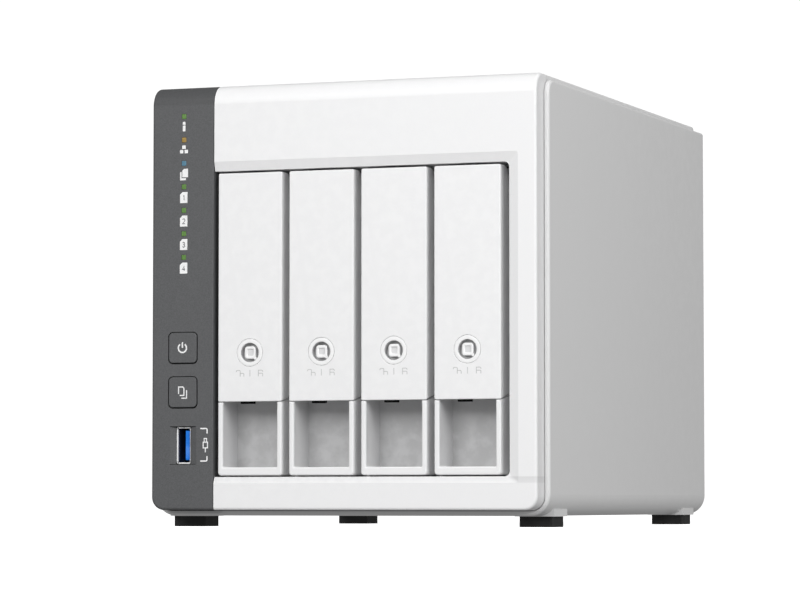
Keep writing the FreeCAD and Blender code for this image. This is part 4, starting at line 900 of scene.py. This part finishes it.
def make_socket(name, low, high, sign, replaced):
    """A type-A receptacle on edge: folded shell, tongue and contacts; sign is its mouth's side."""
    x, _, z = mid(low, high)
    half_x, half_z = (high.x - low.x) / 2, (high.z - low.z) / 2
    front, length = (low.y if sign < 0 else high.y), high.y - low.y
    wall = 0.42

    def square(inset, corner, depth):
        return flat_ring(centred(x, z, half_x - inset, half_z - inset, corner), front - sign * depth)

    def span(start, stop):
        return tuple(sorted((front - sign * start, front - sign * stop)))

    shell = Build()
    shell.loft([square(0.35, 0.35, length - 0.6), square(0.35, 0.35, 1.6), square(wall, 0.35, 1.2),
                square(wall, 0.35, 0.1), square(wall - 0.08, 0.4, 0.0), square(0.1, 0.55, 0.0),
                square(0.0, 0.6, 0.12), square(0.0, 0.6, length)])
    new_piece(f"{name}_shell", shell, "bright_steel", "casing", replaced[:1])
    tongue = Build()
    tongue.beam((x + half_x - 2.45, x + half_x - 0.6), span(0.6, length - 0.7), (z - 5.6, z + 5.6), 0.25)
    new_piece(f"{name}_tongue", tongue, "blue_plastic", "casing", replaced[1:])
    pads = Build()
    for level in (-3.5, -1.2, 1.2, 3.5):
        pads.beam((x + half_x - 2.58, x + half_x - 2.40), span(2.5, 9.0),
                  (z + level - 0.5, z + level + 0.5), 0.06)
    new_piece(f"{name}_contacts", pads, "contact_gold", "casing")
    liner = Build()
    liner.beam((x - half_x + 0.36, x + half_x - 0.36), span(length - 0.95, length - 0.75),
               (z - half_z + 0.36, z + half_z - 0.36), 0.05)
    for left, start in ((x - half_x + 0.36, 1.9), (x + half_x - 0.48, 1.3)):
        liner.beam((left, left + 0.12), span(start, length - 0.8),
                   (z - half_z + 0.4, z + half_z - 0.4), 0.03)
    new_piece(f"{name}_lining", liner, "socket_navy", "casing")


def make_sockets():
    make_socket("front_socket", *node_box("front_usb_shell"), -1, ["front_usb_shell", "front_usb_tongue"])
    low, high = node_box("rear_usb_shells")
    tall = 14.2
    make_socket("rear_socket_upper", Vector((low.x, low.y, high.z - tall)), high, 1,
                ["rear_usb_shells", "rear_usb_tongues"])
    make_socket("rear_socket_lower", low, Vector((high.x, high.y, low.z + tall)), 1, [])
    low, high = node_box("front_usb_shell")
    x, face = (low.x + high.x) / 2, node_box("control_panel")[0].y
    # Painted shadow: near-black strips at the top and bottom ends of the socket's scoop.
    ends = Build()
    for level in (low.z - 0.16, high.z + 0.02):
        ends.prism(rounded(x - 5.4, x + 5.4, level, level + 0.14, 0.05), face + 0.03, face + 0.95, 0.0)
    new_piece("socket_scoop_painted_shadow", ends, "void_black", "casing")
    lips, edge = Build(), 0.03
    deep = (low.y - edge, low.y + 0.6)
    lips.beam((low.x + 0.02, low.x + 0.62), deep, (low.z + 1.0, high.z - 1.0), 0.06)
    for level in (low.z + 0.04, high.z - 0.6):
        lips.beam((low.x + 0.9, high.x - 0.35), deep, (level, level + 0.56), 0.06)
    new_piece("socket_lips", lips, "bright_lip", "casing")


FOOT_WIDE, FOOT_DEEP = 13.2, 12.9
FOOT_RECESS = ((2.6, 0.7), (2.3, 0.15), (2.1, 0.0))    # (inset, level) pairs


def make_feet():
    """Four blocks of rubber with rounded edges and a shallow moulded recess underneath."""
    low, high = node_box("rubber_feet")
    build = Build()
    for x in (low.x, high.x - FOOT_WIDE):
        for y in (low.y, high.y - FOOT_DEEP):
            outline = rounded(x, x + FOOT_WIDE, y, y + FOOT_DEEP, 0.35)
            levels = [*FOOT_RECESS, *rim(0.3), (0.0, high.z)]
            build.loft([[(px, py, level) for px, py in grown(outline, -inset)] for inset, level in levels])
    new_piece("foot_pads", build, "foot_rubber", "casing", ["rubber_feet"])


# --- drives, fan and rear side ---

def make_drive(bay):
    """A 3.5-inch drive on edge: casting, screwed lid with a plain label, board with chips, and an end
    notched for the connector.
    """
    low, high = node_box(f"hard_drive_{bay}")
    notch_y, notch_x, notch_low, notch_high = high.y - 7.0, low.x + 6.3, 33.4, 77.6
    skin, board_back = high.x - 2.2, low.x + 1.6
    build = Build()
    build.slab((low.y, notch_y + 0.1), (low.z, high.z), (board_back, skin), 0.6, 1.6)
    end = [(board_back, low.z + 0.3), (skin, low.z + 0.3), (skin, high.z - 0.3), (board_back, high.z - 0.3),
           (board_back, notch_high), (notch_x, notch_high), (notch_x, notch_low), (board_back, notch_low)]
    build.prism(end, notch_y - 0.3, high.y, 0.0)
    for z in (low.z, high.z - 6.0):
        build.slab((low.y, high.y), (z, z + 6.0), (low.x, board_back + 0.3), 0.4, 1.0)
    build.slab((low.y + 1.5, high.y - 1.5), (low.z + 1.5, high.z - 1.5), (skin - 0.2, high.x - 0.9),
               0.5, 6.0)
    spindle = (low.y + 46.0, (low.z + high.z) / 2)
    build.turned("x", spindle, ((17.0, high.x - 1.2), (17.0, high.x - 0.6), (16.0, high.x - 0.45),
                                (9.0, high.x - 0.45), (8.0, high.x - 0.75), (0.1, high.x - 0.75)), 64)
    for y in (low.y + 5.5, (low.y + high.y) / 2, high.y - 5.5):
        for z in (low.z + 5.5, high.z - 5.5):
            build.screw("x", (y, z), high.x - 3.0, high.x - 1.0, high.x - 0.25, 1.2, 2.3)
    build.shade = 1
    build.slab((low.y + 66.0, high.y - 12.0), (low.z + 12.0, high.z - 12.0), (high.x - 1.2, high.x - 0.78),
               0.05, 2.0)
    build.shade = 2
    build.slab((low.y + 40.0, notch_y - 0.6), (low.z + 7.0, high.z - 7.0), (low.x + 0.5, board_back + 0.1),
               0.1, 3.0)
    build.shade = 3
    for y, z, wide, tall in ((62, 30, 14, 14), (88, 52, 10, 8), (70, 70, 9, 6), (110, 74, 12, 7)):
        build.slab((low.y + y, low.y + y + wide), (low.z + z, low.z + z + tall),
                   (low.x + 0.05, low.x + 0.7), 0.08, 0.3)
    new_piece(f"drive_{bay}", build, "drive_aluminium", f"tray_{bay}",
              [f"hard_drive_{bay}"],
              extra=("label_paper", "circuit_board", "black_plastic"))


def make_drive_screws(bay):
    low, high = node_box(f"drive_screws_{bay}")
    head = 3.0
    x = (low.x + high.x) / 2
    build = Build()
    for y in (low.y + head, high.y - head):
        build.screw("z", (x, y), low.z + 11.0, low.z + 1.4, low.z, 1.7, head)
        build.screw("z", (x, y), high.z - 10.3, high.z - 1.4, high.z, 1.7, head)
    new_piece(f"drive_screw_set_{bay}", build, "screw_steel",
              f"tray_{bay}", [f"drive_screws_{bay}"])


def make_rear_screws():
    for node, head, shank in (("fan_screws", 3.6, 2.0), ("case_screws", 2.9, 1.45)):
        low, high = node_box(node)
        seat = node_box("rear_panel")[1].y
        build = Build()
        for x in (low.x + head, high.x - head):
            for z in (low.z + head, high.z - head):
                build.screw("y", (x, z), low.y, seat, high.y, shank, head)
        new_piece(f"{node}_set", build, "screw_steel", "casing", [node])


def make_fan_rotor():
    """A motor hub with nine curved, twisted blades and a shaft."""
    low, high = node_box("fan_frame")
    x, z, front = (low.x + high.x) / 2, (low.z + high.z) / 2, low.y + 1.0
    back, shaft_end = high.y - 5.0, node_box("fan_rotor")[1].y
    build = Build()
    build.turned("y", (x, z), ((1.5, front + 2.0), (17.4, front + 2.0), (17.4, back), (18.7, back),
                               (19.0, back - 0.3), (19.0, front + 1.2), (18.2, front + 0.3), (17.2, front),
                               (0.1, front)), 72)
    build.turned("y", (x, z), ((1.4, shaft_end), (1.5, shaft_end - 0.2), (1.5, front + 1.5)), 32)
    middle = (front + back) / 2
    inner, outer, sections = 18.4, 54.4, 9
    for blade in range(9):
        rings = []
        for k in range(sections):
            part = k / (sections - 1)
            radius = inner + (outer - inner) * part
            chord, pitch = 19.0 + 9.0 * part, math.radians(52 - 22 * part)
            thick = 1.7 - 0.8 * part
            lead = math.radians(40 * blade + 24 * part ** 1.5)
            ring = []
            for m in range(16):
                turn = 2 * math.pi * m / 16
                along, across = chord / 2 * math.cos(turn), thick / 2 * math.sin(turn)
                across += 2.0 * (1 - (2 * along / chord) ** 2)
                sweep = along * math.cos(pitch) - across * math.sin(pitch)
                rise = along * math.sin(pitch) + across * math.cos(pitch)
                angle = lead + sweep / radius
                ring.append((x + radius * math.cos(angle), middle + rise, z + radius * math.sin(angle)))
            rings.append(ring)
        build.loft(rings)
    new_piece("fan_blades", build, "black_plastic", "fan_rotor", ["fan_rotor"])
    sticker = Build()
    sticker.turned("y", (x, z), ((15.5, front + 0.05), (15.5, front - 0.04), (0.1, front - 0.04)), 64)
    new_piece("fan_sticker", sticker, "label_paper", "fan_rotor")


def make_jack_details():
    """Spring contacts and two link lights in each network jack, and the centre pin of the inlet."""
    low, high = node_box("network_jacks")
    x, rear = mid(*node_box("rear_usb_shells")).x, high.y
    wires, lights = Build(), Build()
    half = 8.0
    for z in (low.z + half, high.z - half):
        for k in range(8):
            level = z + (k - 3.5) * 1.02
            wires.beam((x - 3.35, x - 3.1), (rear - 10.5, rear - 1.8), (level - 0.22, level + 0.22), 0.08,
                       warp=lambda p: (p[0] + (rear - 1.8 - p[1]) * 0.22, p[1], p[2]))
        for side in (-1, 1):
            centre = z + side * 5.3
            lights.beam((high.x - 2.2, high.x - 0.8), (rear - 1.0, rear + 0.02),
                        (centre - 1.2, centre + 1.2), 0.12)
    new_piece("jack_contacts", wires, "contact_gold", "casing")
    new_piece("jack_lights", lights, "lens_amber", "casing")
    low, high = node_box("power_inlet")
    z = (low.z + high.z) / 2
    pin = Build()
    pin.turned("y", (x, z), ((1.07, high.y - 11.0), (1.07, high.y - 1.9), (0.8, high.y - 1.5),
                             (0.1, high.y - 1.5)), 32)
    pin.turned("y", (x, z), ((2.87, high.y - 10.0), (2.87, high.y - 0.3), (2.74, high.y - 0.3),
                             (2.74, high.y - 10.0)), 48, closed=True)
    new_piece("inlet_contacts", pin, "jack_metal", "casing")


def make_board_parts():
    """Chips and capacitors on the main board, clear of the parts that the board carries."""
    face = node_box("main_board")[1].x
    chips, cans = Build(), Build()
    for y, z, wide, tall, thick in ((-76, 96, 14, 10, 1.2), (-76, 80, 14, 10, 1.2), (-76, 64, 14, 10, 1.2),
                                    (-30, 50, 12, 12, 1.4), (10, 84, 9, 9, 1.2), (28, 100, 16, 8, 1.8),
                                    (52, 66, 10, 7, 1.5), (-56, 40, 8, 8, 1.2), (-10, 34, 6, 5, 1.1)):
        chips.slab((y, y + wide), (z, z + tall), (face - 0.1, face + thick), 0.1, 0.3)
    for y, z in ((24, 70), (33, 70), (24, 58), (-50, 58), (-50, 68), (62, 84), (70, 84), (-2, 52)):
        cans.turned("x", (y, z), ((3.1, face - 0.1), (3.1, face + 5.8), (2.8, face + 6.2),
                                  (0.1, face + 6.2)), 32)
    new_piece("board_chips", chips, "black_plastic", "casing")
    new_piece("board_capacitors", cans, "screw_steel", "casing")


add_camera()
MATERIALS = make_materials()
add_studio()
dress_nodes()
for bay in BAYS:
    make_handle(bay)
    make_tray(bay)
    make_lock(bay)
    make_lock_symbols(bay)
    make_drive(bay)
    make_drive_screws(bay)
make_button("power_cap", "power_button", "power_button")
make_button("copy_cap", "copy_button", "copy_button")
make_button_symbols()
make_status_lights()
make_light_symbols()
make_socket_marks()
make_sockets()
make_feet()
make_rear_screws()
make_fan_rotor()
make_jack_details()
make_board_parts()
